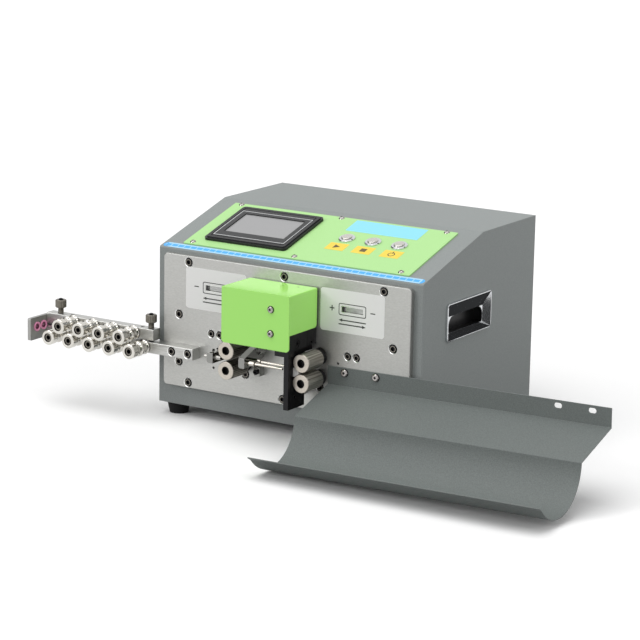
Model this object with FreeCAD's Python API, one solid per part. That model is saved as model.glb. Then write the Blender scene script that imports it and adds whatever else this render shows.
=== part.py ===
"""Benchtop wire cutting and stripping machine, in millimetres.

Machine frame used for all the sizes below: x runs to the right from the left side of the housing (the wire
travels this way), y runs to the back from the front face of the housing, z runs up from its bottom face.
Every piece is moved at the end, so that the finished model stands on z = 0 with its origin at the bottom
centre of the whole machine.
"""
import FreeCAD, Part
import math
import os

V = FreeCAD.Vector
X_AXIS = V(1, 0, 0)
Y_AXIS = V(0, 1, 0)
Z_AXIS = V(0, 0, 1)

# Housing
HOUSING_W = 400.0
HOUSING_D = 293.0
FRONT_H = 210.0
HOUSING_H = 253.0
SLOPE_END_Y = 150.5
SHEET = 1.5
BEND_R = 3.0
FOOT_TOP_D = 32.0
FOOT_BOTTOM_D = 25.0
FOOT_H = 16.0
FOOT_INSET = 19.0
PAN_FLANGE_H = 20.0

# Front plate
MID_X = HOUSING_W / 2.0
PLATE_T = 8.0
PLATE_W = HOUSING_W - 25.0
PLATE_X0 = MID_X - PLATE_W / 2.0
PLATE_X1 = MID_X + PLATE_W / 2.0
PLATE_Z0 = 27.0
PLATE_Z1 = 204.0
PLATE_CORNER_R = 5.5
PLATE_CHAMFER = 0.7
PLATE_BORDER = 10.0
PLATE_SCREW_REACH = PLATE_W / 2.0 - 39.5
PLATE_SCREW_SIDE = PLATE_W / 2.0 - 24.5

# Fasteners
M6_D = 6.0
M6_HEAD_D = 10.0
M6_HEAD_H = 6.0
SOCKET_RATIO = 0.5
M5_D = 5.0
M5_HEAD_D = 9.5
M5_HEAD_H = 2.8
PAN_D = 4.0
PAN_HEAD_D = 8.0
PAN_HEAD_H = 2.4
SMALL_HEAD_D = 8.4
LOW_HEAD_H = 3.6
SUNK = 3.3
SMALL_SUNK = 2.7
HEAD_ROOM = 1.0
RING_W = 1.0
THREAD_GRIP = 10.0

# Console on the slope: s runs up the slope, measured from the front edge
PANEL_X0 = 28.0
PANEL_X1 = HOUSING_W - 28.5
PANEL_S0 = 14.0
PANEL_S1 = 141.5
PANEL_T = 1.8
SCREEN_X0 = 51.0
SCREEN_W = 127.0
SCREEN_S0 = 29.0
SCREEN_H = 99.0
SCREEN_RISE = 5.0
SCREEN_STEP = 1.5
SCREEN_DEPTH = 28.0
DISPLAY_X0 = 68.6
DISPLAY_W = 93.1
DISPLAY_S0 = 52.5
DISPLAY_H = 53.5
BUTTON_X = HOUSING_W - 122.5
BUTTON_PITCH = 39.2
BUTTON_S = 84.6
BUTTON_BEZEL_D = 22.0
BUTTON_CAP_D = 14.0
BUTTON_BEZEL_H = 2.5
BUTTON_CAP_RISE = 1.6
BUTTON_TRAVEL = 2.0
BUTTON_BARREL_D = 16.0
BUTTON_BARREL_L = 24.0

# Side handles
HANDLE_Y0 = 58.0
HANDLE_W = 114.0
HANDLE_Z0 = 125.0
HANDLE_H = 49.5
HANDLE_FLANGE_T = 3.4
HANDLE_RIM = 1.4
HANDLE_SLOPE_W = 13.0
HANDLE_SLOPE_LOW = 9.0
HANDLE_SLOPE_TOP = 19.0
HANDLE_FUNNEL = 6.5
HANDLE_MOUTH_R = 12.0
HANDLE_MOUTH_LOW_R = 3.0
HANDLE_DEPTH = 22.0
HANDLE_CORNER_R = 6.0
HANDLE_WALL = 1.5

# Wire path
WIRE_Z = 86.0
WIRE_MID_Y = -39.0
WIRE_PITCH = 14.0
WIRE_YS = (WIRE_MID_Y - WIRE_PITCH / 2.0, WIRE_MID_Y + WIRE_PITCH / 2.0)

# Feed rollers, one pair on each side of the blades
FEED_XS = (MID_X - 57.4, MID_X + 56.8)
FEED_ROLLER_D = 23.6
FEED_ROLLER_L = 36.0
FEED_FRONT_Y = -54.0
FEED_RECESS_D = 11.2
FEED_RECESS_L = 9.0
FEED_SHAFT_D = 10.0
SHAFT_COLLAR_D = 16.0
SHAFT_PLAY = 0.05
GEAR_MODULE = 1.25
GEAR_TEETH = 21
GEAR_W = 8.0
GEAR_BACKLASH = 0.3
LIFT_TRAVEL = 3.0
PLATE_BORE_D = 18.0

# Feed block behind the plate, with its bearings and motor
BLOCK_W = 38.0
BLOCK_FLOOR = 10.0
BLOCK_FRONT_T = 16.0
BLOCK_GEAR_ROOM = 12.0
BLOCK_REAR_T = 8.0
BLOCK_BOTTOM = 44.0
BLOCK_TOP = 113.0
BEARING_D = 19.0
BEARING_T = 5.0
SLIDER_BLOCK_W = 26.0
SLIDER_BLOCK_H = 22.0
SLIDE_PLAY = 0.1
FEED_MOTOR_W = 57.0
FEED_MOTOR_L = 56.0
MOTOR_SHAFT_D = 6.35
MOTOR_SHAFT_L = 20.0
SPRING_D = 12.0
SPRING_WIRE = 1.6
SPRING_L = 36.0
SPRING_TURNS = 6

# Pressure sliders with their index tabs in the scale windows
WINDOW_W = 33.0
WINDOW_H = 9.0
WINDOW_Z = 165.2
WINDOW_LEFT_X = MID_X - 105.0
WINDOW_RIGHT_X = MID_X + 102.9
WINDOW_SKIN = 2.5
TAB_W = 2.6
TAB_H = 7.2
PRESSURE_TRAVEL = 26.0
SLIDER_BAR_H = 16.0
SLIDER_RAIL_H = 6.0
SLIDER_LIP = 2.0
SLIDER_RAIL_L = 26.0

# Blade head
HEAD_PLATE_T = 7.0
HEAD_PLATE_X1 = MID_X + 44.2
HEAD_FRONT_Y = -63.0
HEAD_LEG_BACK_Y = -25.0
HEAD_LEG_Z0 = 38.0
HEAD_WING_Z0 = 107.5
HEAD_CHEEK_X1 = MID_X + 50.4
HEAD_CHEEK_Z0 = 116.0
HEAD_CHEEK_FRONT_Y = -73.4
HEAD_TOP_Z = 184.0
HEAD_LEDGE_X0 = MID_X + 30.0
HEAD_LEDGE_Z0 = 109.5
HEAD_POST_X0 = MID_X + 17.0
HEAD_POST_Z0 = 121.0
HEAD_POST_T = 7.0
WIRE_HOLE_D = 8.0
RAIL_W = 5.0
RAIL_H = 2.5
RAIL_PLAY = 0.08
BLADE_T = 2.0
BLADE_GAP = 0.1
BLADE_W = 24.0
BLADE_H = 24.0
BLADE_NOTCH = 5.0
BLADE_OPEN = 8.0
BLADE_TRAVEL = 9.0
CARRIAGE_H = 22.0
PINION_TEETH = 20
PINION_MODULE = 1.0
PINION_X = MID_X + 23.0
PINION_Z = 136.0
PINION_W = 10.0
PINION_SHAFT_D = 8.0
RACK_BODY_T = 3.6
RACK_L = 34.0
BLADE_MOTOR_W = 42.0
BLADE_MOTOR_L = 48.0
STANDOFF_D = 8.0
STANDOFF_L = 6.0

# Green cover of the blade head
COVER_X0 = MID_X - 50.0
COVER_X1 = MID_X + 52.0
COVER_Y0 = -75.0
COVER_Z0 = 116.3
COVER_BACK_Y = -10.5
COVER_Z1 = 188.5
COVER_SIDE_Z0 = 137.5
COVER_T = 1.5
COVER_CORNER_R = 5.0
COVER_SCREW_X = MID_X + 24.6
COVER_HOLES = ((MID_X + 9.0, -23.7), (MID_X + 30.5, -21.5))
COVER_SCREW_ZS = (137.4, 168.4)

# Guides
GUIDE_BLOCK_W = 9.2
GUIDE_BLOCK_L = 29.0
GUIDE_BLOCK_H = 13.2
GUIDE_BLOCK_X = MID_X - 87.0
SWING_BLOCK_X = MID_X - 38.0
BLOCK_ROUND = 2.8
TUBE_D = 3.2
TUBE_BORE_D = 2.2
TUBE_END_X = MID_X + 24.7
COLLAR_D = 6.4
COLLAR_L = 11.0
SWING_PIVOT_X = MID_X - 33.4
SWING_PIVOT_Z = 99.0
SWING_HUB_D = 18.0
SWING_ARM_T = 6.0
SWING_DEG = 10.0

# Straightener
BAR_FRONT_Y = -25.5
BAR_H = 15.0
BAR_GAP = 2.2
LOWER_BAR_X1 = PLATE_X0 + 58.5
UPPER_BAR_X1 = PLATE_X0 - 4.3
BAR_LEFT_X = LOWER_BAR_X1 - 240.0
UPPER_BAR_BACK_Y = -10.0
ROLLER_D = 20.0
ROLLER_L = 34.2
ROLLER_GROOVE_DEPTH = 2.3
ROLLER_GROOVE_W = 11.0
ROLLER_BORE_D = 8.0
ROLLER_PLAY = 0.06
ROLLER_FIRST_X = BAR_LEFT_X + 29.4
ROLLER_PITCH = 33.2
LOWER_ROLLERS = 5
UPPER_ROLLERS = 4
ROLLER_GAP = 0.8
AXLE_HEAD_D = 10.6
AXLE_HEAD_H = 6.0
AXLE_SUNK = 1.2
AXLE_CLEARANCE = 0.7
ADJUST_X = (BAR_LEFT_X + 17.8, UPPER_BAR_X1 - 9.5)
ADJUST_D = 8.0
ADJUST_HEAD_D = 14.0
ADJUST_HEAD_H = 10.6
ADJUST_SHOW = 7.6
ADJUST_TRAVEL = 4.0
ENTRY_T = 5.0
ENTRY_FRONT_Y = -59.8
ENTRY_Z0 = 68.8
ENTRY_DROP = 3.0
EYELET_D = 12.7
EYELET_BORE_D = 6.6
EYELET_T = 7.0
DOWEL_D = 5.0

# Output tray, a sheet bent once sharply and rolled to a trough
TRAY_X0 = MID_X + 69.0
TRAY_L = 398.3
TRAY_T = 1.2
TRAY_FOLD_Z = 64.8
TRAY_FLANGE_H = 25.0
TRAY_RAMP_Y = 77.0
TRAY_RAMP_Z = 25.0
TRAY_TROUGH_R = 56.5
TRAY_ARC_START = -3.0
TRAY_ARC_END = -140.0
TRAY_LIP = 8.5
TRAY_LIP_DEG = 148.0
TRAY_TILT = 1.0
TRAY_SLOT_L = 10.5
TRAY_SLOT_W = 6.5
TRAY_SLOT_END = 25.4
TRAY_SLOT_PITCH = 45.9
TRAY_SLOT_DROP = 6.5
TRAY_CORNER_R = 5.0

# Electrical pieces and rear panel
SUPPLY_SIZE = (160.0, 98.0, 42.0)
SUPPLY_AT = (HOUSING_W - 325.0, HOUSING_D - 113.0)
BOARD_SIZE = (130.0, 100.0, 1.6)
BOARD_AT = (HOUSING_W - 152.0, HOUSING_D - 118.0)
BOARD_STANDOFF = 10.0
INLET_X = 52.0
INLET_Z = 50.0
INLET_W = 27.0
INLET_H = 47.0
INLET_DEPTH = 24.0
ROCKER_W = 19.0
ROCKER_H = 13.0
ROCKER_DEG = 9.0
ROCKER_PIN_D = 3.0
ROCKER_PIN_L = 1.5
VENT_ROWS = 8
VENT_PITCH = 8.0
VENT_W = 60.0
VENT_H = 3.0

# Values worked out from the sizes above
SLOPE_DEG = math.degrees(math.atan2(HOUSING_H - FRONT_H, SLOPE_END_Y))
GEAR_DISTANCE = GEAR_MODULE * GEAR_TEETH
LOWER_FEED_Z = WIRE_Z - GEAR_DISTANCE / 2.0
UPPER_FEED_Z = WIRE_Z + GEAR_DISTANCE / 2.0
GEAR_Y0 = BLOCK_FRONT_T + (BLOCK_GEAR_ROOM - GEAR_W) / 2.0
BLOCK_REAR_Y = BLOCK_FRONT_T + BLOCK_GEAR_ROOM + BLOCK_REAR_T
HEAD_PLATE_X0 = HEAD_PLATE_X1 - HEAD_PLATE_T
ROLLER_STEP_Z = (BAR_H + BAR_GAP) / 2.0
LOWER_BAR_Z0 = WIRE_Z - BAR_GAP / 2.0 - BAR_H
UPPER_BAR_Z0 = WIRE_Z + BAR_GAP / 2.0
BAR_T = -PLATE_T - BAR_FRONT_Y
ROLLER_BACK_Y = BAR_FRONT_Y - ROLLER_GAP
ROLLER_FRONT_Y = ROLLER_BACK_Y - ROLLER_L
LOWER_ROLLER_XS = [ROLLER_FIRST_X + i * ROLLER_PITCH for i in range(LOWER_ROLLERS)]
UPPER_ROLLER_XS = [ROLLER_FIRST_X + (i + 0.5) * ROLLER_PITCH for i in range(UPPER_ROLLERS)]
BUTTON_XS = [BUTTON_X + i * BUTTON_PITCH for i in (-1, 0, 1)]
PINION_R = PINION_MODULE * PINION_TEETH / 2.0


def box(x0, x1, y0, y1, z0, z1):
    """A block between two corners."""
    return Part.makeBox(x1 - x0, y1 - y0, z1 - z0, V(x0, y0, z0))


def rod(diameter, length, at, axis):
    """A round bar that starts at a point and runs along an axis."""
    return Part.makeCylinder(diameter / 2.0, length, V(*at), axis)


def ring(outer, inner, length, at, axis):
    """A tube or washer."""
    return rod(outer, length, at, axis).cut(rod(inner, length, at, axis))


def fuse(*shapes):
    """One solid from touching or overlapping shapes, with the seams between flat faces removed."""
    return shapes[0].multiFuse(list(shapes[1:])).removeSplitter()


def group(shapes):
    """Several separate solids of one node."""
    return Part.makeCompound(list(shapes))


def edges_along(shape, axis, test):
    """The straight edges along an axis whose middle point passes a test."""
    found = []
    for edge in shape.Edges:
        if edge.Curve.TypeId != "Part::GeomLine":
            continue
        direction = edge.tangentAt(edge.FirstParameter)
        if abs(abs(direction.dot(axis)) - 1.0) < 1e-6:
            middle = edge.valueAt((edge.FirstParameter + edge.LastParameter) / 2.0)
            if test(middle):
                found.append(edge)
    return found


def rounded(shape, radius, axis, test=lambda point: True):
    """Round the edges that run along an axis."""
    return shape.makeFillet(radius, edges_along(shape, axis, test))


def prism_yz(points, x0, x1):
    """An outline in the y-z plane, pulled out along x."""
    wire = Part.makePolygon([V(x0, y, z) for y, z in points + points[:1]])
    return Part.Face(wire).extrude(V(x1 - x0, 0, 0))


def prism_xz(points, y0, y1):
    """An outline in the x-z plane, pulled out along y."""
    wire = Part.makePolygon([V(x, y0, z) for x, z in points + points[:1]])
    return Part.Face(wire).extrude(V(0, y1 - y0, 0))


def on_slope(shape):
    """Move a shape drawn as (x, s, height above the sheet) onto the sloping console."""
    placed = shape.copy()
    placed.rotate(V(0, 0, 0), X_AXIS, SLOPE_DEG)
    placed.translate(V(0, 0, FRONT_H))
    return placed


def slope_point(x, s, height):
    """The machine point of a place on the console."""
    angle = math.radians(SLOPE_DEG)
    y = s * math.cos(angle) - height * math.sin(angle)
    z = FRONT_H + s * math.sin(angle) + height * math.cos(angle)
    return V(x, y, z)


def hexagon(across, length, at, axis):
    """A hexagonal prism, across flats, for a socket."""
    corner_r = across / math.sqrt(3.0)
    points = [V(corner_r * math.cos(math.radians(60 * i)), corner_r * math.sin(math.radians(60 * i)), 0)
              for i in range(7)]
    prism = Part.Face(Part.makePolygon(points)).extrude(V(0, 0, length))
    prism.Placement = FreeCAD.Placement(V(*at), FreeCAD.Rotation(Z_AXIS, axis))
    return prism


def along(at, axis, distance):
    """The point a distance away along an axis, as a tuple."""
    moved = V(*at) + V(axis) * distance
    return (moved.x, moved.y, moved.z)


def socket_screw(at, axis, diameter, head_d, head_h, grip):
    """A socket-head cap screw: the head's seat is at the point, the head rises along the axis."""
    head = rod(head_d, head_h, at, axis)
    rim = edge_at(head, V(*along(at, axis, head_h)))
    head = head.makeChamfer(head_d * 0.06, [rim])
    socket = hexagon(head_d * SOCKET_RATIO, head_h * 0.6, along(at, axis, head_h * 0.4), axis)
    shank = rod(diameter, grip, at, V(axis) * -1)
    return fuse(head, shank).cut(socket)


def edge_at(shape, centre):
    """The circular edge round a centre point."""
    for edge in shape.Edges:
        if edge.Curve.TypeId == "Part::GeomCircle" and (edge.Curve.Center - centre).Length < 1e-4:
            return edge
    raise ValueError("no round edge at that point")


def button_screw(at, axis, diameter, head_d, head_h, grip, across):
    """A screw with a low domed head and a hexagon socket."""
    sphere_r = (head_d ** 2 / 4.0 + head_h ** 2) / (2.0 * head_h)
    dome = Part.makeSphere(sphere_r, V(*along(at, axis, head_h - sphere_r)))
    head = rod(head_d, head_h, at, axis).common(dome)
    shank = rod(diameter, grip, at, V(axis) * -1)
    socket = hexagon(across, head_h * 0.7, along(at, axis, head_h * 0.4), axis)
    return fuse(head, shank).cut(socket)


def gear(module, teeth, width, bore, at, phase_deg):
    """A spur gear about an axis along y; a tooth is centred at the phase angle in the x-z plane."""
    pitch_r = module * teeth / 2.0
    tip_r = pitch_r + module
    root_r = pitch_r - 1.25 * module
    half = math.pi / (2.0 * teeth) - GEAR_BACKLASH / (4.0 * pitch_r)
    points = []
    for tooth in range(teeth):
        centre = math.radians(phase_deg) + 2.0 * math.pi * tooth / teeth
        spread = (
            (root_r, -half - 0.25 * module / pitch_r * 1.25),
            (pitch_r, -half),
            (tip_r, -half + 0.42 * module / pitch_r),
            (tip_r, half - 0.42 * module / pitch_r),
            (pitch_r, half),
            (root_r, half + 0.25 * module / pitch_r * 1.25),
        )
        points += [(at[0] + r * math.cos(centre + a), at[2] + r * math.sin(centre + a)) for r, a in spread]
    wheel = prism_xz(points, at[1], at[1] + width)
    return wheel.cut(rod(bore, width, at, Y_AXIS)) if bore else wheel


def rack(side, y0, y1, z0, z1):
    """A rack whose teeth face the pinion; side is +1 to its right, -1 to its left."""
    pitch_x = PINION_X + side * PINION_R
    tip_x = pitch_x - side * PINION_MODULE
    root_x = pitch_x + side * 1.25 * PINION_MODULE
    back_x = root_x + side * RACK_BODY_T
    pitch = math.pi * PINION_MODULE
    half = pitch / 4.0 - GEAR_BACKLASH / 4.0
    slant = math.tan(math.radians(20.0))
    points = [(back_x, z0), (root_x, z0)]
    first = math.ceil((z0 - PINION_Z) / pitch - 0.5) + 1
    last = math.floor((z1 - PINION_Z) / pitch - 0.5) - 1
    for tooth in range(int(first), int(last) + 1):
        middle = PINION_Z + (tooth + 0.5) * pitch
        root_half = half + abs(root_x - pitch_x) * slant
        tip_half = half - abs(tip_x - pitch_x) * slant
        points += [(root_x, middle - root_half), (tip_x, middle - tip_half)]
        points += [(tip_x, middle + tip_half), (root_x, middle + root_half)]
    points += [(root_x, z1), (back_x, z1)]
    return prism_xz(points, y0, y1)


# Housing

def housing_profile(inset):
    """The five corners of the housing's side, moved inwards by the inset, open at bottom and back."""
    run = SLOPE_END_Y
    rise = HOUSING_H - FRONT_H
    length = math.hypot(run, rise)
    drop = inset * length / run
    front_top = FRONT_H + inset * rise / run - drop
    slope_top_y = SLOPE_END_Y + (drop - inset) * run / rise
    if inset == 0:
        return [(0, 0), (0, FRONT_H), (SLOPE_END_Y, HOUSING_H), (HOUSING_D, HOUSING_H), (HOUSING_D, 0)]
    past = 5.0
    return [(inset, -past), (inset, front_top), (slope_top_y, HOUSING_H - inset),
            (HOUSING_D + past, HOUSING_H - inset), (HOUSING_D + past, -past)]


def housing_shell():
    """Wrap-over sheet: front, console, top and both sides, with openings behind what is screwed on."""
    outer = prism_yz(housing_profile(0), 0, HOUSING_W)
    outer = rounded(outer, BEND_R, X_AXIS, lambda p: p.y < SLOPE_END_Y + 1 and p.z > 1)
    shell = outer.cut(prism_yz(housing_profile(SHEET), SHEET, HOUSING_W - SHEET))
    front = box(PLATE_X0 + PLATE_BORDER, PLATE_X1 - PLATE_BORDER, -1, SHEET + 1,
                PLATE_Z0 + PLATE_BORDER, PLATE_Z1 - PLATE_BORDER)
    console = on_slope(box(PANEL_X0 + PLATE_BORDER, PANEL_X1 - PLATE_BORDER,
                           PANEL_S0 + PLATE_BORDER, PANEL_S1 - PLATE_BORDER, -SHEET - 2, 1))
    shell = shell.cut(front).cut(console)
    rim = HANDLE_RIM + HANDLE_WALL * 2.0
    for x0 in (-1.0, HOUSING_W - SHEET - 1.0):
        shell = shell.cut(box(x0, x0 + SHEET + 2.0, HANDLE_Y0 + rim, HANDLE_Y0 + HANDLE_W - rim,
                              HANDLE_Z0 + rim, HANDLE_Z0 + HANDLE_H - rim))
    screws = panel_screws() + plate_socket_screws() + straightener_mount_screws()
    return shell.cut(group(screws))


def base_pan():
    """Bottom sheet with flanges bent up inside the shell."""
    x0 = SHEET
    x1 = HOUSING_W - SHEET
    y0 = SHEET
    y1 = HOUSING_D - SHEET
    outer = box(x0, x1, y0, y1, 0, PAN_FLANGE_H)
    inner = box(x0 + SHEET, x1 - SHEET, y0 + SHEET, y1 - SHEET, SHEET, PAN_FLANGE_H + 1)
    return outer.cut(inner).cut(group(rear_screws()))


def rear_panel():
    """Flat back sheet with louvre slots and the cut-out of the mains inlet."""
    panel = box(SHEET, HOUSING_W - SHEET, HOUSING_D - SHEET, HOUSING_D, 0, HOUSING_H - SHEET)
    slots = []
    for row in range(VENT_ROWS):
        z = HOUSING_H * 0.55 + row * VENT_PITCH
        for centre in (HOUSING_W * 0.3, HOUSING_W * 0.7):
            slot = box(centre - VENT_W / 2.0, centre + VENT_W / 2.0, HOUSING_D - SHEET - 1, HOUSING_D + 1,
                       z, z + VENT_H)
            slots.append(rounded(slot, VENT_H / 2.1, Y_AXIS))
    cut = box(INLET_X - INLET_W / 2.0, INLET_X + INLET_W / 2.0, HOUSING_D - SHEET - 1, HOUSING_D + 1,
              INLET_Z - INLET_H / 2.0, INLET_Z + INLET_H / 2.0)
    panel = panel.cut(group(slots)).cut(cut)
    return panel.cut(group(rear_screws()))


def rubber_feet():
    """Four tapered feet under the base."""
    feet = []
    for x in (FOOT_INSET, HOUSING_W - FOOT_INSET):
        for y in (FOOT_INSET, HOUSING_D - FOOT_INSET):
            foot = Part.makeCone(FOOT_BOTTOM_D / 2.0, FOOT_TOP_D / 2.0, FOOT_H, V(x, y, -FOOT_H))
            screw_recess = rod(FOOT_BOTTOM_D * 0.4, FOOT_H * 0.4, (x, y, -FOOT_H), Z_AXIS)
            feet.append(foot.cut(screw_recess))
    return group(feet)


def lofted(corners_a, corners_b):
    """A solid with flat sides between two four-cornered outlines."""
    wires = [Part.makePolygon([V(*c) for c in corners + corners[:1]]) for corners in (corners_a, corners_b)]
    return Part.makeLoft(wires, True, True)


def rectangle(x, y0, y1, z0, z1):
    """Corners of an upright rectangle that looks to the right."""
    return [(x, y0, z0), (x, y1, z0), (x, y1, z1), (x, y0, z1)]


def side_handles():
    """Recessed pocket handles: a raised rim, slopes that lead into the mouth, and the pocket behind the grip."""
    y0 = HANDLE_Y0
    y1 = HANDLE_Y0 + HANDLE_W
    z0 = HANDLE_Z0
    z1 = HANDLE_Z0 + HANDLE_H
    face = HOUSING_W + HANDLE_FLANGE_T
    flange = rounded(box(HOUSING_W, face, y0, y1, z0, z1), HANDLE_CORNER_R, X_AXIS)
    edge = [e for e in flange.Edges if e.BoundBox.XMin > face - 0.01]
    flange = flange.makeFillet(HANDLE_RIM * 0.5, edge)
    tub_in = HANDLE_RIM + HANDLE_WALL * 2.0
    tub = box(HOUSING_W - HANDLE_DEPTH, HOUSING_W, y0 + tub_in, y1 - tub_in, z0 + tub_in, z1 - tub_in)
    body = fuse(flange, tub)
    floor_x = face - HANDLE_FUNNEL
    mouth_y = (y0 + HANDLE_SLOPE_W, y1 - HANDLE_SLOPE_W)
    mouth_z = (z0 + HANDLE_SLOPE_LOW, z1 - HANDLE_SLOPE_TOP)
    rim = HANDLE_RIM
    funnel = lofted(rectangle(face, y0 + rim, y1 - rim, z0 + rim, z1 - rim),
                    rectangle(floor_x, mouth_y[0], mouth_y[1], mouth_z[0], mouth_z[1]))
    above = box(face, face + 1.0, y0 + rim, y1 - rim, z0 + rim, z1 - rim)
    back_x = HOUSING_W - HANDLE_DEPTH + HANDLE_WALL
    mouth = box(back_x + 1.0, floor_x + 0.5, mouth_y[0], mouth_y[1], mouth_z[0], mouth_z[1])
    middle_z = sum(mouth_z) / 2.0
    mouth = rounded(mouth, HANDLE_MOUTH_R, X_AXIS, lambda p: p.z > middle_z)
    mouth = rounded(mouth, HANDLE_MOUTH_LOW_R, X_AXIS, lambda p: p.z < middle_z)
    hollow_in = tub_in + HANDLE_WALL
    hollow = box(back_x, floor_x - HANDLE_WALL, y0 + hollow_in, y1 - hollow_in, z0 + hollow_in, z1 - hollow_in)
    right = body.cut(funnel).cut(above).cut(hollow).cut(mouth)
    left = right.mirror(V(MID_X, 0, 0), X_AXIS)
    return group([left, right])


# Console

def control_panel():
    """Green sheet with cut-outs for the screen unit and the push buttons."""
    sheet = box(PANEL_X0, PANEL_X1, PANEL_S0, PANEL_S1, 0, PANEL_T)
    sheet = rounded(sheet, PANEL_T, Z_AXIS)
    cutout = box(SCREEN_X0 + 4, SCREEN_X0 + SCREEN_W - 4, SCREEN_S0 + 4, SCREEN_S0 + SCREEN_H - 4, -1, PANEL_T + 1)
    sheet = sheet.cut(cutout)
    for x in BUTTON_XS:
        sheet = sheet.cut(rod(BUTTON_BARREL_D, PANEL_T + 2, (x, BUTTON_S, -1), Z_AXIS))
    sheet = on_slope(sheet)
    return sheet.cut(group(panel_screws()))


def panel_screw_places():
    """Six screws in two rows."""
    return [(x, s) for s in (PANEL_S0 + 6, PANEL_S1 - 3.5) for x in (PANEL_X0 + 12, 198.0, PANEL_X1 - 15)]


def panel_screws():
    """Domed screws that hold the control panel to the console."""
    grip = PANEL_T + SHEET + 3
    screws = []
    for x, s in panel_screw_places():
        screws.append(on_slope(button_screw((x, s, PANEL_T), Z_AXIS, PAN_D, PAN_HEAD_D, PAN_HEAD_H, grip, 2.5)))
    return screws


def rear_screws():
    """Domed screws in the corners of the rear panel."""
    inset = 12.0
    screws = []
    for x in (inset, HOUSING_W - inset):
        for z in (inset, HOUSING_H - inset):
            screws.append(button_screw((x, HOUSING_D, z), Y_AXIS, PAN_D, PAN_HEAD_D, PAN_HEAD_H, SHEET + 4, 2.5))
    return screws


def screen_bezel():
    """Stepped black frame of the touch screen, with its body behind the panel."""
    x0 = SCREEN_X0
    x1 = SCREEN_X0 + SCREEN_W
    s0 = SCREEN_S0
    s1 = SCREEN_S0 + SCREEN_H
    top = PANEL_T + SCREEN_RISE
    base = rounded(box(x0, x1, s0, s1, PANEL_T, top - SCREEN_STEP), 5.0, Z_AXIS)
    step = 2.5
    crown = rounded(box(x0 + step, x1 - step, s0 + step, s1 - step, PANEL_T, top), 4.0, Z_AXIS)
    body = box(x0 + 5, x1 - 5, s0 + 5, s1 - 5, -SCREEN_DEPTH, PANEL_T + 1)
    frame = fuse(base, crown, body)
    groove_outer = box(x0 + 7, x1 - 7, s0 + 7, s1 - 7, top - 0.8, top + 1)
    groove_inner = box(x0 + 8.2, x1 - 8.2, s0 + 8.2, s1 - 8.2, top - 1, top + 1)
    frame = frame.cut(groove_outer.cut(groove_inner))
    window = box(DISPLAY_X0, DISPLAY_X0 + DISPLAY_W, DISPLAY_S0, DISPLAY_S0 + DISPLAY_H, top - 3.0, top + 1)
    return on_slope(frame.cut(window))


def screen_display():
    """Display sheet at the bottom of the screen's window."""
    top = PANEL_T + SCREEN_RISE
    return on_slope(box(DISPLAY_X0, DISPLAY_X0 + DISPLAY_W, DISPLAY_S0, DISPLAY_S0 + DISPLAY_H,
                        top - 3.0, top - 1.2))


def button_housings():
    """Metal bezels and barrels of the three push buttons."""
    housings = []
    for x in BUTTON_XS:
        bezel = rod(BUTTON_BEZEL_D, BUTTON_BEZEL_H, (x, BUTTON_S, PANEL_T), Z_AXIS)
        rim = edge_at(bezel, V(x, BUTTON_S, PANEL_T + BUTTON_BEZEL_H))
        bezel = bezel.makeChamfer(BUTTON_BEZEL_H * 0.4, [rim])
        barrel = rod(BUTTON_BARREL_D, BUTTON_BARREL_L, (x, BUTTON_S, PANEL_T - BUTTON_BARREL_L), Z_AXIS)
        well_depth = BUTTON_BEZEL_H + BUTTON_TRAVEL * 2.5
        well = rod(BUTTON_CAP_D + 0.3, well_depth + 1, (x, BUTTON_S, PANEL_T + BUTTON_BEZEL_H - well_depth), Z_AXIS)
        nut = hexagon(BUTTON_BEZEL_D, 4.0, (x, BUTTON_S, -SHEET - 4.5), Z_AXIS)
        housings.append(on_slope(fuse(bezel, barrel, nut).cut(well)))
    return group(housings)


def button_cap(x):
    """Domed cap that slides in its bezel."""
    top = PANEL_T + BUTTON_BEZEL_H + BUTTON_CAP_RISE
    length = BUTTON_CAP_RISE + BUTTON_BEZEL_H + BUTTON_TRAVEL * 1.2
    cap = rod(BUTTON_CAP_D, length, (x, BUTTON_S, top - length), Z_AXIS)
    return on_slope(cap.makeChamfer(0.6, [edge_at(cap, V(x, BUTTON_S, top))]))


# Front plate

def plate_screw_places():
    """The row of heads round the front plate's edge and the screws of the feed blocks."""
    top = PLATE_Z1 - 8.5
    bottom = PLATE_Z0 + 7.2
    reach = PLATE_SCREW_REACH
    side = PLATE_SCREW_SIDE
    places = [(MID_X + dx, z) for z in (top, bottom) for dx in (-reach, 0, reach)]
    places += [(MID_X + dx, z) for z in (60.8, 124.5) for dx in (-side, side)]
    return places


def block_screw_places():
    """Under each lower feed shaft, one screw holds the feed block."""
    return [(x, LOWER_FEED_Z - 13.8) for x in FEED_XS]


def small_screw_places():
    """Pairs of smaller screws above the feed rollers, for the sliding block's gibs."""
    return [(MID_X + dx, 105.0) for dx in (-111.8, -98.8, 97.0, 110.0)]


def open_holes():
    """Places and diameters of the small bored holes that hold nothing."""
    return [(MID_X - 107.4, 60.2, 3.4), (MID_X - 107.4, 83.4, 4.6), (MID_X - 101.4, 86.3, 3.2),
            (MID_X - 93.8, 98.7, 3.2), (MID_X + 83.1, 94.0, 3.2)]


def counterbores(places, face_y, head_d, sunk):
    """Counterbores with a countersunk ring, for heads let into a face that looks to the front."""
    cuts = []
    for x, z in places:
        bore_r = (head_d + HEAD_ROOM) / 2.0
        cuts.append(rod(bore_r * 2.0, sunk + 0.5, (x, face_y - 0.5, z), Y_AXIS))
        cuts.append(Part.makeCone(bore_r + RING_W, bore_r, RING_W, V(x, face_y, z), Y_AXIS))
    return cuts


def window_slot(centre_x, y0, y1):
    """The scale window's rounded slot."""
    slot = box(centre_x - WINDOW_W / 2.0, centre_x + WINDOW_W / 2.0, y0, y1,
               WINDOW_Z - WINDOW_H / 2.0, WINDOW_Z + WINDOW_H / 2.0)
    return rounded(slot, 2.0, Y_AXIS)


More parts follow.
